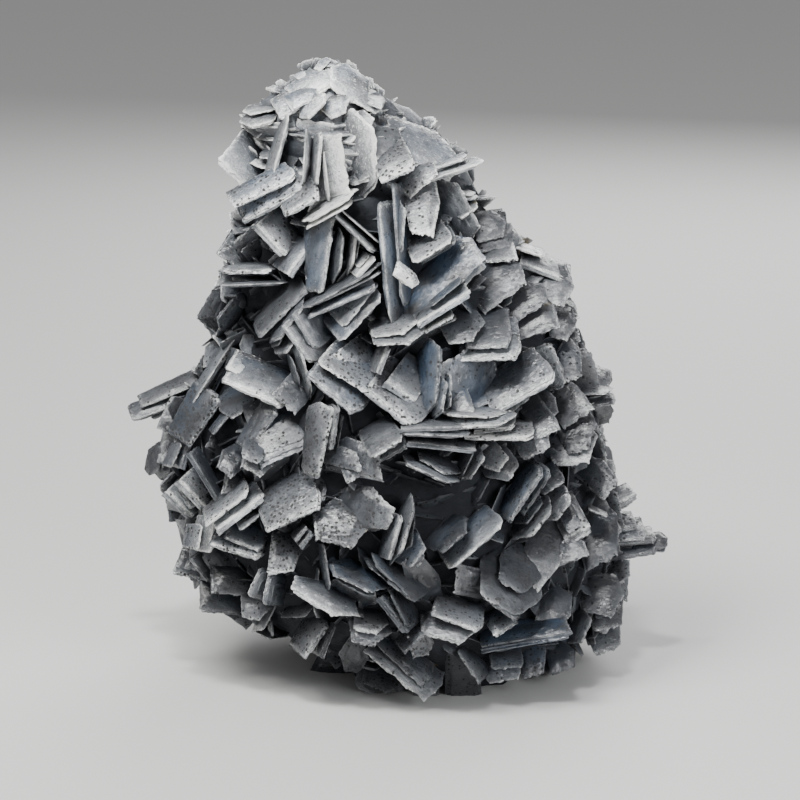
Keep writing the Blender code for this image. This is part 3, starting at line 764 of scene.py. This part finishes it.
def grow_blade(rng, kind, matrix, seen=True, crystals=CRYSTALS, tone_and_light_shift=0.0):
    """A copy of one of the crystals, laid in its place and cut off where it would reach below the
    base. The few points that would stand past the solid's box are held back to it."""
    pattern = rng.choice(crystals[kind])
    mesh = pattern.data.copy()
    points = mesh_points(mesh)
    shift = [rng.uniform(-1, 1) for _ in range(3)]
    set_vectors(mesh, "grain", points * matrix.to_scale() + shift)
    tone, *others = blade_look(rng, matrix.translation, seen)
    set_vectors(mesh, "look", np.tile((tone + tone_and_light_shift, *others), (len(points), 1)))
    mesh.transform(matrix)
    points = mesh_points(mesh)
    heights = points[:, 2]
    if heights.max() <= 0:
        return None
    # the depth of each point in the mound, for the painted shade of the hollows
    for mark, depth in zip(mesh.attributes["edge"].data, mound_depths(points)):
        mark.vector.z = depth
    blade = bpy.data.objects.new(pattern.name, mesh)
    bpy.context.collection.objects.link(blade)
    if heights.min() < 0:
        start_edit(blade)
        cut_below(0)
        end_edit()
    points = mesh_points(mesh).clip(*cad_box)
    mesh.vertices.foreach_set("co", points.ravel())
    return blade


def parallel_blade(rng, matrix):
    """The transform of a thinner leaf that grew against a blade, a little shorter and splayed."""
    middle, turn, size = matrix.decompose()
    side, thin = rng.choice((-1, 1)), rng.uniform(0.35, 0.85)
    shift = Vector((rng.uniform(-0.15, 0.15), rng.uniform(-0.2, -0.02),
                    side * (rng.uniform(0.45, 0.62) + thin / 2)))
    splay = Matrix.Rotation(math.radians(rng.uniform(-9, 9)), 4, "Y")
    splay @= Matrix.Rotation(side * math.radians(rng.uniform(-4, 9)), 4, "X")
    length, width = size.x * rng.uniform(0.55, 1.0), size.y * rng.uniform(0.8, 0.98)
    laid = Matrix.Translation(middle + turn @ (shift * size)) @ turn.to_matrix().to_4x4()
    return laid @ splay @ Matrix.Diagonal((length, width, size.z * thin, 1))


def join_blades(name, blades):
    """Joins blades that grow together, with the mineral's finish."""
    blades = [blade for blade in blades if blade]
    pick()
    for blade in blades:
        blade.select_set(True)
    bpy.context.view_layer.objects.active = blades[0]
    bpy.ops.object.join()
    piece = bpy.context.object
    piece.name = name
    finish_piece(piece)


def grow_seen_blades(name, rows, seed):
    """All the blades of one region of the photograph, some of them with a parallel leaf."""
    rng = random.Random(seed)
    grown = []
    for row in rows:
        blade = Blade(*row)
        matrix = seen_blade(blade)
        grown.append(grow_blade(rng, blade.outline, matrix))
        if rng.random() < PAIRED_SHARE:
            leaf = parallel_blade(rng, matrix)
            grown.append(grow_blade(rng, blade.outline, leaf, crystals=LEAVES))
    join_blades(name, grown)


CROWN = [
    (288, 96, 334, 74, 44, 50, 3, 3.2, S), (330, 68, 368, 100, 40, 35, 3, 3.0, T),
    (300, 118, 326, 94, 20, 35, 3, 2.4, T, 10), (282, 104, 318, 92, 30, 50, 4, 3.0, S),
    (322, 112, 350, 98, 26, 25, 1, 2.4, F), (352, 92, 380, 112, 30, 60, 3, 2.4, S),
    (360, 100, 384, 106, 26, 75, 4, 2.2, C), (272, 108, 300, 100, 34, 40, 3, 2.8, S),
    (296, 84, 312, 78, 24, 60, 0, 2.6, S),
]
grow_seen_blades("crown_blades", CROWN, 11)


# The left wall. Big pale plates at the top, then specked laths that lean up to the right, and a
# pair of level bars over a dark hollow.
LEFT_WALL = [
    (231, 138, 266, 190, 48, 12, 3, 2.8, S, -8), (240, 126, 280, 116, 40, 70, 3, 2.6, T),
    (268, 180, 287, 114, 46, 74, 5, 2.4, L), (282, 168, 300, 122, 34, 30, -2, 2.2, C),
    (238, 214, 304, 176, 38, 42, 7, 4.6, L, 5), (282, 212, 318, 188, 34, 52, 7, 3.2, L, 8),
    (262, 218, 290, 252, 34, 35, 3, 2.6, L), (224, 236, 250, 262, 40, 30, -2, 2.4, S),
    (238, 262, 268, 226, 36, -30, -4, 2.2, S), (218, 271, 284, 270, 40, 82, 6, 3.6, T),
    (220, 285, 288, 283, 46, 84, 8, 1.7, L), (284, 274, 310, 240, 34, 60, 3, 2.6, L),
    (212, 330, 224, 290, 40, -20, -2, 2.4, S), (220, 330, 242, 300, 36, -60, 2, 1.8, T),
    (190, 403, 238, 331, 44, 76, 6, 2.8, L, 5), (222, 350, 252, 338, 40, -55, -3, 2.2, C),
]
grow_seen_blades("left_wall_blades", LEFT_WALL, 12)


# The upper middle. Upright laths seen edge on under the crown, and long thin pairs that cross below
# them, with a blue column on the left.
UPPER_MIDDLE = [
    (306, 184, 309, 130, 42, -80, 6, 1.7, L), (314, 186, 318, 132, 40, 76, 5, 2.0, L),
    (322, 152, 328, 202, 36, 82, 5, 1.2, L), (334, 134, 340, 198, 30, 42, 4, 2.2, C),
    (352, 108, 360, 202, 46, 20, 0, 2.4, T), (344, 150, 368, 112, 30, 30, -1, 1.8, S),
    (301, 224, 358, 192, 34, 76, 10, 1.6, T, 8), (306, 228, 352, 203, 30, 80, 9, 1.3, L, 8),
    (312, 294, 320, 216, 40, 46, 6, 4.0, C, -5), (336, 214, 375, 252, 36, 78, 8, 1.8, L),
    (335, 284, 341, 226, 34, 74, 5, 1.7, T), (348, 276, 354, 228, 34, 76, 3, 1.6, T),
    (354, 276, 374, 256, 30, 70, 6, 1.5, L), (296, 310, 384, 262, 44, 76, 9, 1.8, T, 10),
    (308, 314, 378, 283, 40, 74, 8, 2.2, L, 10), (256, 335, 305, 282, 38, 62, 5, 2.2, C, 5),
    (270, 344, 308, 293, 38, 72, 6, 1.8, T, 5), (278, 356, 300, 326, 34, 66, 4, 1.6, T),
    (332, 334, 378, 290, 44, 48, 6, 2.6, L, 5),
]
grow_seen_blades("upper_middle_blades", UPPER_MIDDLE, 13)


# The right shoulder. A long thin blade points out to the right over specked plates, and one long
# blue blade runs straight down beside a broad, clear one.
RIGHT_SHOULDER = [
    (374, 126, 458, 168, 64, 38, 1, 2.8, S), (366, 140, 404, 148, 44, 30, 0, 2.2, T),
    (398, 187, 484, 162, 40, 76, 7, 2.4, L, 5), (378, 178, 414, 161, 34, 55, 9, 2.6, L, 5),
    (394, 192, 436, 166, 44, 50, 4, 2.2, S), (404, 222, 442, 218, 40, 20, 7, 2.2, F),
    (386, 200, 396, 326, 40, -62, 4, 3.4, L), (397, 262, 402, 196, 28, 70, 5, 2.2, T),
    (434, 180, 470, 242, 46, -35, 0, 2.0, T), (451, 201, 479, 197, 34, 80, 3, 1.4, T),
    (454, 218, 478, 203, 34, 70, 4, 1.6, T), (474, 224, 508, 226, 34, 15, 0, 2.4, L),
    (468, 236, 514, 238, 40, 30, 0, 2.6, S), (402, 316, 474, 240, 52, 32, 3, 2.2, C),
    (410, 258, 452, 236, 36, 58, 8, 2.4, L, 5), (394, 264, 417, 286, 17, 30, 10, 2.4, S),
    (414, 322, 470, 290, 38, 66, 9, 2.2, L, 5), (424, 330, 454, 314, 38, 80, 8, 1.4, L, 5),
    (484, 256, 516, 250, 40, 60, 2, 2.4, C),
]
grow_seen_blades("right_shoulder_blades", RIGHT_SHOULDER, 14)


# The right slope. Ragged plates overlap like shingles down the right side of the cluster, all with
# pale, chipped edges.
RIGHT_SLOPE = [
    (515, 245, 545, 254, 36, 75, 2, 1.8, L), (520, 256, 572, 276, 44, 60, 3, 2.2, L),
    (528, 288, 574, 284, 46, 20, 1, 2.4, F), (462, 300, 524, 270, 52, 30, 0, 2.4, S),
    (492, 312, 546, 290, 44, 25, 1, 2.2, S), (500, 330, 556, 308, 46, 30, 1, 2.2, C),
    (546, 322, 576, 324, 36, 15, 0, 2.2, F), (535, 350, 552, 392, 44, 38, 3, 2.0, L),
    (552, 362, 582, 360, 46, 10, 0, 2.2, S), (574, 362, 612, 382, 38, 55, 1, 2.0, C),
    (571, 392, 614, 390, 40, 80, 3, 1.7, T), (582, 402, 614, 394, 36, 60, 4, 2.2, L),
    (590, 418, 612, 406, 30, -20, 2, 2.0, S), (440, 334, 486, 326, 40, 50, 5, 2.0, F),
    (458, 350, 521, 344, 46, 48, 7, 2.4, L, 5), (484, 400, 548, 362, 58, 42, 6, 2.4, L),
    (556, 420, 586, 396, 36, 30, 3, 2.2, C), (530, 412, 556, 398, 34, 20, 1, 2.0, T),
    (532, 434, 556, 418, 30, 40, 6, 2.2, L), (511, 450, 551, 440, 34, 45, 5, 2.2, S),
    (548, 456, 600, 444, 40, 40, 5, 2.4, F), (586, 490, 612, 470, 38, 20, 2, 2.0, S),
    (598, 508, 634, 490, 36, 60, 5, 2.6, L), (588, 507, 608, 516, 30, 80, 6, 1.2, L),
]
grow_seen_blades("right_slope_blades", RIGHT_SLOPE, 15)


# The middle. Thick specked twins, cream bars end on over a dark cave, and upright blue columns.
MIDDLE = [
    (367, 340, 426, 334, 40, 66, 10, 2.2, F, 5), (376, 374, 388, 346, 30, 76, 8, 2.0, L),
    (228, 362, 280, 386, 36, 60, 6, 2.2, L), (224, 374, 292, 400, 36, 52, 8, 3.6, L, 5),
    (280, 384, 306, 404, 34, 20, 3, 2.2, C), (293, 338, 311, 400, 36, 74, 5, 1.8, T),
    (290, 318, 322, 358, 36, 35, 3, 2.2, L), (312, 366, 366, 406, 40, 38, 6, 3.2, L, 5),
    (340, 348, 362, 378, 30, 25, 3, 2.4, L), (368, 384, 422, 422, 34, 36, 5, 3.4, L, 5),
    (426, 418, 434, 338, 40, 60, 6, 4.0, T), (436, 420, 444, 372, 30, 70, 7, 2.6, T),
    (446, 408, 456, 344, 34, -25, 3, 2.0, F), (450, 414, 474, 404, 30, 40, 4, 2.0, S),
    (429, 423, 517, 419, 46, 72, 10, 2.4, T, 5), (463, 434, 534, 434, 46, 74, 11, 2.4, L, 5),
    (400, 430, 470, 434, 44, 76, 10, 2.2, L, 5), (406, 440, 477, 449, 44, 78, 9, 2.2, L, 5),
    (366, 452, 402, 434, 40, 60, 9, 3.0, L), (364, 484, 376, 446, 40, 30, 6, 2.4, S),
    (336, 462, 366, 456, 46, 12, 3, 2.4, S), (328, 450, 334, 404, 40, 72, 6, 2.6, L),
    (309, 478, 322, 402, 30, 28, 5, 3.2, C), (252, 444, 304, 428, 56, 18, 3, 2.6, L),
    (242, 448, 272, 404, 28, 40, 2, 2.2, L), (400, 457, 456, 484, 36, 76, 9, 2.2, T, 10),
    (459, 480, 482, 446, 36, 60, 4, 1.8, T), (372, 532, 384, 490, 34, 15, 5, 2.4, F),
    (387, 560, 399, 514, 34, 74, 7, 2.0, L), (393, 567, 415, 494, 36, 76, 8, 2.2, T),
    (312, 520, 370, 524, 56, 28, 5, 2.8, F), (493, 482, 514, 452, 30, 25, 4, 2.0, T),
    (505, 520, 539, 465, 38, 68, 8, 2.6, L, 5), (537, 488, 563, 475, 34, 55, 4, 2.2, L),
]
grow_seen_blades("middle_blades", MIDDLE, 16)


# The left bulge. One lath reaches far out to the left, and needles and short laths meet in a bright
# knot below it.
LEFT_BULGE = [
    (129, 414, 202, 388, 28, 46, 2, 3.6, L), (150, 414, 196, 392, 34, 62, 2, 2.8, C),
    (178, 440, 210, 388, 44, 35, 4, 2.6, L, 5), (160, 480, 167, 440, 34, 50, 1, 2.6, T),
    (176, 468, 186, 438, 34, 60, 3, 2.6, L), (190, 450, 223, 506, 36, 78, 6, 1.7, L),
    (170, 486, 196, 514, 36, 55, 3, 3.0, L), (182, 476, 208, 506, 34, 60, 3, 3.0, L),
    (222, 416, 256, 396, 36, 60, 2, 1.8, T), (212, 434, 228, 414, 30, 78, 3, 1.2, L),
    (218, 458, 244, 470, 34, 45, 4, 2.4, F), (240, 458, 274, 468, 34, 50, 5, 3.0, F),
    (222, 480, 240, 486, 30, 30, 0, 2.0, S), (214, 529, 264, 494, 36, 66, 8, 2.2, L, 5),
    (238, 528, 260, 513, 30, 72, 6, 1.6, L), (202, 552, 208, 514, 34, 50, 6, 3.2, L),
    (211, 537, 266, 550, 38, 58, 6, 3.4, L, 5), (178, 552, 208, 570, 44, 30, 0, 2.4, S),
    (192, 556, 214, 580, 34, 75, 2, 1.8, L),
]
grow_seen_blades("left_bulge_blades", LEFT_BULGE, 17)


# The lower left. Broad dark plates lie like shelves with a lit front edge, with thin laths on end
# between them.
LOWER_LEFT = [
    (262, 524, 320, 492, 42, 48, 7, 3.0, L, 5), (268, 548, 300, 556, 50, 15, 4, 2.6, S),
    (299, 547, 312, 532, 28, 76, 9, 1.8, L), (322, 543, 329, 590, 30, 80, 6, 1.4, L),
    (196, 591, 248, 605, 38, 30, 0, 2.6, S), (206, 575, 254, 587, 38, 35, 1, 2.6, S),
    (240, 600, 274, 606, 36, 25, 0, 2.6, F), (258, 600, 270, 570, 34, -50, 3, 2.4, L),
    (271, 606, 276, 572, 30, -60, 3, 2.6, L), (293, 578, 360, 614, 42, 52, 7, 2.4, F, 8),
    (327, 564, 388, 592, 38, 68, 8, 2.2, T, 5), (332, 578, 380, 598, 36, -60, 5, 2.0, T),
    (300, 656, 324, 618, 34, 62, 5, 2.8, L), (318, 657, 333, 622, 30, 70, 5, 1.8, L),
    (312, 664, 352, 676, 56, -20, 0, 2.8, F), (340, 650, 368, 660, 44, -20, 1, 2.2, F),
    (370, 554, 420, 603, 38, 78, 7, 2.0, T), (386, 570, 422, 600, 36, 60, 7, 2.2, T),
    (382, 594, 409, 632, 34, 66, 8, 2.0, L, 5),
]
grow_seen_blades("lower_left_blades", LOWER_LEFT, 18)


# The lower middle. Crossed double laths over scalloped shelves, down to the thick plates at the
# base.
LOWER_MIDDLE = [
    (399, 566, 424, 538, 34, 50, 5, 2.0, T), (402, 578, 432, 562, 34, -25, 4, 2.0, T),
    (348, 624, 392, 632, 44, 40, 4, 2.8, F), (372, 640, 438, 690, 44, 40, 4, 2.8, C, 5),
    (402, 652, 422, 630, 28, 72, 8, 2.0, L), (408, 650, 432, 638, 34, -30, 5, 2.0, S),
    (418, 622, 480, 630, 46, 50, 8, 2.8, F, 5), (432, 606, 484, 622, 40, 58, 6, 2.0, L),
    (354, 668, 410, 690, 44, 30, 1, 2.6, F), (410, 692, 440, 690, 34, 30, 2, 2.6, S),
    (432, 553, 470, 522, 36, 66, 8, 2.2, T, 5), (444, 564, 502, 518, 36, 56, 8, 2.8, L, 5),
    (462, 596, 470, 566, 36, -40, 3, 2.0, C), (472, 572, 532, 614, 44, 46, 7, 2.6, T),
    (484, 594, 520, 617, 34, 72, 8, 1.8, L), (485, 628, 518, 616, 36, 58, 5, 2.4, S),
    (516, 562, 556, 578, 44, 30, 4, 2.4, F), (538, 600, 572, 612, 50, 12, 3, 2.6, F),
    (478, 640, 572, 626, 46, 60, 7, 2.8, L, 5), (440, 668, 480, 664, 54, -10, 0, 2.8, S),
    (462, 646, 486, 678, 34, 60, 3, 2.2, C), (484, 662, 520, 660, 44, 10, 1, 2.8, L),
    (518, 656, 546, 658, 42, 12, 1, 2.6, S), (544, 658, 576, 656, 36, 30, 0, 2.4, S),
]
grow_seen_blades("lower_middle_blades", LOWER_MIDDLE, 19)


# The lower right. Face-on plates with soft edges, and a pointed pair that reaches out to the right.
LOWER_RIGHT = [
    (571, 645, 588, 612, 34, 62, 5, 2.4, T), (576, 592, 624, 592, 50, 15, 1, 2.4, F),
    (586, 616, 624, 618, 40, 50, 3, 2.4, S), (584, 638, 622, 634, 40, 30, 0, 2.6, S),
    (604, 534, 645, 528, 38, 55, 4, 2.4, L), (608, 552, 656, 542, 40, 60, 5, 2.6, L),
    (636, 542, 668, 540, 26, 45, 2, 2.4, T), (574, 550, 620, 548, 48, 20, 2, 2.6, S),
    (556, 524, 584, 512, 56, 25, 5, 2.6, L), (516, 542, 552, 498, 36, 60, 5, 2.2, T),
    (538, 520, 566, 486, 40, 40, 3, 2.2, T), (540, 560, 584, 538, 44, 40, 4, 2.4, C),
    (590, 536, 618, 520, 44, 30, 1, 2.2, S),
]
grow_seen_blades("lower_right_blades", LOWER_RIGHT, 20)


# The sides and the back. Larger blades lean outward at all angles, spread evenly around the mound:
# the part of the cluster that the photograph doesn't show.
FULL_GROWTH = 54 * MM  # half the mound's width from which blades have their full size
UNDERCUT_HEIGHT = 20 * MM
UNDERCUT_FREEDOM = 0.2
FACING_FRONT = 0.3
RISE_STEP = 4 * MM
GOLDEN_ANGLE = math.pi * (3 - math.sqrt(5))
# least and most in millimetres, the steepest slope in degrees, and least and most turn in degrees
Growth = namedtuple("Growth", "length width thickness slope turn")
GROWN_COUNT = 150
GROWN = Growth((20, 32), (11, 16), (2.2, 4.0), 75, (34, 78))
GROWN_OUT = (-2, 2.5)
GROWN_SEED = 7


def ring_point(height, angle):
    """A point on the mound's surface."""
    x, half_width, y, half_depth = mound_ring(height)
    return Vector((x + half_width * math.cos(angle), y + half_depth * math.sin(angle), height))


def mound_point(height, angle):
    """A point on the mound's surface, and the direction straight out of it."""
    point, above = ring_point(height, angle), ring_point(height + RISE_STEP, angle)
    _, half_width, _, half_depth = mound_ring(height + RISE_STEP)
    around = Vector((-half_width * math.sin(angle), half_depth * math.cos(angle), 0))
    return point, around.cross(above - point).normalized()


def even_heights(count):
    """Heights that share the mound's wall out evenly, from the resting face to the crown."""
    slices = [step * MM for step in range(MOUND[-1].height)]
    girths = [half_width + half_depth for _, half_width, _, half_depth in map(mound_ring, slices)]
    passed, total = 0, sum(girths)
    wanted = [(number + 0.5) * total / count for number in range(count)]
    for height, girth in zip(slices, girths):
        while wanted and wanted[0] <= passed + girth:
            yield height + (wanted.pop(0) - passed) / girth * MM
        passed += girth


def growth_at(height):
    """How large blades are at a height, and how freely they lean, less at the crown and base."""
    growth = min(1, mound_ring(height)[1] / FULL_GROWTH)
    return growth, growth ** 2 * min(1, UNDERCUT_FREEDOM + height / UNDERCUT_HEIGHT)


def places(count):
    """Places spread evenly around the mound: each one's point, the way straight out of it, how
    large and how free its blade is, and whether it lies on the front."""
    for number, height in enumerate(even_heights(count)):
        point, outward = mound_point(height, number * GOLDEN_ANGLE)
        yield point, outward, *growth_at(height), outward.dot(NEAR) > FACING_FRONT


def draw_blade(rng, growth, out):
    """Length, width, thickness, out, slope, turn and outline of a blade, from their ranges."""
    sizes = [rng.uniform(*limits) * MM for limits in (*growth[:3], out)]
    slope = math.radians(rng.uniform(-growth.slope, growth.slope))
    turn = math.radians(rng.uniform(*growth.turn) * rng.choice((-1, 1)))
    return *sizes, slope, turn, rng.choice(list(OUTLINES))


def lean_out(place, outward, slope, turn, length, width, thickness, out):
    """The transform of a blade that grows from a place on the mound."""
    level = outward.cross(Vector((0, 0, 1))).normalized()
    along = Matrix.Rotation(slope, 3, outward) @ level
    across = Matrix.Rotation(turn, 3, along) @ along.cross(outward)
    middle = place - outward * (width / 2 * abs(math.sin(turn)) - out)
    return rooted_blade(middle, along, across, length, width, thickness, outward)


rng = random.Random(GROWN_SEED)
look_rng = random.Random(GROWN_SEED + 1)
grown = []
for place, outward, size, calm, front in places(GROWN_COUNT):
    length, width, thickness, out, slope, turn, kind = draw_blade(rng, GROWN, GROWN_OUT)
    if not front:
        matrix = lean_out(place, outward, slope * calm, turn, length * size, width * size,
                          thickness, out * calm)
        grown.append(grow_blade(look_rng, kind, matrix, seen=False))
join_blades("side_and_back_blades", grown)


# The deeper blades. Behind the blades that catch the light stand others of the same size, set back
# in the dark between them on the front, where their tone is painted darker as shade, and nearly as
# far out as them on the sides and the back.
DEEPER_COUNT = 320
DEEPER = Growth((14, 26), (8, 13), (1.2, 3), 80, (34, 80))
DEEPER_OUT_FRONT = (-7, -3)
DEEPER_OUT_BACK = (-3, 1.5)
DEEPER_PAINTED_SHADE = -0.12
LEAST_BEHIND = 0.6  # of size and of freedom, on the sides and the back
DEEPER_SEED = 33

rng = random.Random(DEEPER_SEED)
deeper_front, deeper_back = [], []
for place, outward, size, calm, front in places(DEEPER_COUNT):
    reach = DEEPER_OUT_FRONT if front else DEEPER_OUT_BACK
    length, width, thickness, out, slope, turn, kind = draw_blade(rng, DEEPER, reach)
    freedom = calm
    if not front:
        size, freedom = max(size, LEAST_BEHIND), max(calm, LEAST_BEHIND)
    matrix = lean_out(place, outward, slope * freedom, turn, length * size, width * size,
                      thickness, min(out, out * calm))
    if front:
        deeper_front.append(grow_blade(rng, kind, matrix, True, LEAVES, DEEPER_PAINTED_SHADE))
    else:
        deeper_back.append(grow_blade(rng, kind, matrix, False, LEAVES))
join_blades("deeper_front_blades", deeper_front)
join_blades("deeper_back_blades", deeper_back)


# The crust of the crown. Small pale plates, broken and grown into each other, cover the top of the
# cluster closely, whiter than anything below, partly by their own colour and partly by painted
# light from above, and larger and farther out behind.
CRUST_COUNT = 210
CRUST_FOOT = 140 * MM
CRUST_TOP = 167 * MM
CRUST = Growth((6, 12), (4, 8), (1, 2.4), 60, (32, 70))
CRUST_OUT = (-4, -1)
CRUST_FULL = 24 * MM  # where the mound is narrower than this to a side, they are smaller
CRUST_LEAST = 0.5
# the crust's tone lifted a little: partly its own paleness, partly painted light from above
CRUST_PALER = 0.04
FACING_BACK = -0.2
BEHIND_SIZE, BEHIND_FREEDOM, BEHIND_OUT = 1.5, 0.9, 2.2
CRUST_SEED = 45

rng = random.Random(CRUST_SEED)
crust = []
for number in range(CRUST_COUNT):
    height = CRUST_FOOT + (CRUST_TOP - CRUST_FOOT) * number / CRUST_COUNT
    place, outward = mound_point(height, number * GOLDEN_ANGLE)
    behind = outward.dot(NEAR) < FACING_BACK
    size = max(CRUST_LEAST, min(1, mound_ring(height)[1] / CRUST_FULL)) * MM
    size *= BEHIND_SIZE if behind else 1
    length, width, thickness = (rng.uniform(*limits) * size for limits in CRUST[:3])
    slope = math.radians(rng.uniform(-CRUST.slope, CRUST.slope))
    slope *= BEHIND_FREEDOM if behind else growth_at(height)[1]
    turn = math.radians(rng.uniform(*CRUST.turn) * rng.choice((-1, 1)))
    out = (rng.uniform(*CRUST_OUT) + (BEHIND_OUT if behind else 0)) * MM
    matrix = lean_out(place, outward, slope, turn, length, width, thickness, out)
    kind = rng.choice((T, F, S, C))
    crust.append(grow_blade(rng, kind, matrix, outward.dot(NEAR) > 0, CHIPS, CRUST_PALER))
join_blades("crown_crust", crust)


# The young blades. Small thin plates and splinters fill the hollows between the large blades, most
# of them low against the mass, and they stand farther out only on the sides and the back.
YOUNG_COUNT = 880
YOUNG = Growth((6, 14), (4, 8), (0.5, 1.5), 85, (40, 88))
YOUNG_OUT_FRONT = (-5, -1.5)
YOUNG_OUT_BACK = (-2, 2.5)
# how much darker the young blades on the front are painted, as shade in the hollows
YOUNG_PAINTED_SHADE = -0.06
LEAST_FRONT, LEAST_BACK = 0.6, 0.8
YOUNG_SEED = 21

rng = random.Random(YOUNG_SEED)
young = []
for place, outward, size, calm, front in places(YOUNG_COUNT):
    reach = YOUNG_OUT_FRONT if front else YOUNG_OUT_BACK
    length, width, thickness, out, slope, turn, kind = draw_blade(rng, YOUNG, reach)
    size = max(size, LEAST_FRONT if front else LEAST_BACK)
    matrix = lean_out(place, outward, slope * calm, turn, length * size, width * size,
                      thickness, min(out, out * calm))
    young.append(grow_blade(rng, kind, matrix, front, CHIPS, YOUNG_PAINTED_SHADE if front else 0))
half = len(young) // 2
join_blades("young_blades_low", young[:half])
join_blades("young_blades_high", young[half:])

for crystals in (CRYSTALS, LEAVES, CHIPS):
    for pattern in sum(crystals.values(), []):
        bpy.data.objects.remove(pattern)


# The studio. A pale floor, a large soft lamp above and to the left, weaker ones in front and
# behind, a small one that glints on the faces, and one close to the crown.
pick()
bpy.ops.mesh.primitive_plane_add(size=6, location=(0, 0, 0))
floor = bpy.context.object
floor.name = "studio_floor"
floor_paint = bpy.data.materials.new("floor")
floor_paint.use_nodes = True
paint = floor_paint.node_tree.nodes["Principled BSDF"].inputs
paint["Base Color"].default_value = (0.62, 0.62, 0.61, 1)
paint["Roughness"].default_value = 0.8
floor.data.materials.append(floor_paint)

# each lamp's place, the point it shines at, its size in metres, its watts and its colour
LAMPS = {
    "key": ((-0.26, -0.24, 0.62), (-0.01, 0, 0.10), 0.26, 3.7, (1.0, 0.99, 0.96)),
    "fill": ((0.75, -0.9, 0.45), (0, 0, 0.08), 0.5, 8.0, (0.97, 0.98, 1.0)),
    "back": ((0.25, 0.8, 0.6), (0, 0, 0.1), 0.6, 8.0, (1.0, 1.0, 1.0)),
    "glint": ((-0.05, -0.35, 0.75), (0, 0, 0.10), 0.08, 3.2, (1.0, 1.0, 1.0)),
    "crown": ((-0.08, -0.14, 0.32), (-0.02, 0, 0.16), 0.06, 0.34, (0.96, 0.98, 1.0)),
}
for name, (place, aim, size, watts, colour) in LAMPS.items():
    data = bpy.data.lights.new(name, "AREA")
    data.size = size
    data.energy = watts
    data.color = colour
    lamp = bpy.data.objects.new(name, data)
    bpy.context.scene.collection.objects.link(lamp)
    lamp.location = place
    lamp.rotation_euler = (Vector(aim) - Vector(place)).to_track_quat("-Z", "Y").to_euler()

world = bpy.data.worlds.new("studio")
world.use_nodes = True
world.node_tree.nodes["Background"].inputs["Color"].default_value = (0.82, 0.82, 0.83, 1)
world.node_tree.nodes["Background"].inputs["Strength"].default_value = 0.44
bpy.context.scene.world = world

SENSOR = 36
camera_data = bpy.data.cameras.new("camera")
camera_data.sensor_width = SENSOR
camera_data.lens = SENSOR * EYE_DISTANCE / (2 * FRAME_MIDDLE_PX * PIXEL)
camera_data.clip_start = 0.05
camera = bpy.data.objects.new("camera", camera_data)
bpy.context.scene.collection.objects.link(camera)
camera.location = EYE
camera.rotation_euler = (-NEAR).to_track_quat("-Z", "Y").to_euler()
bpy.context.scene.camera = camera
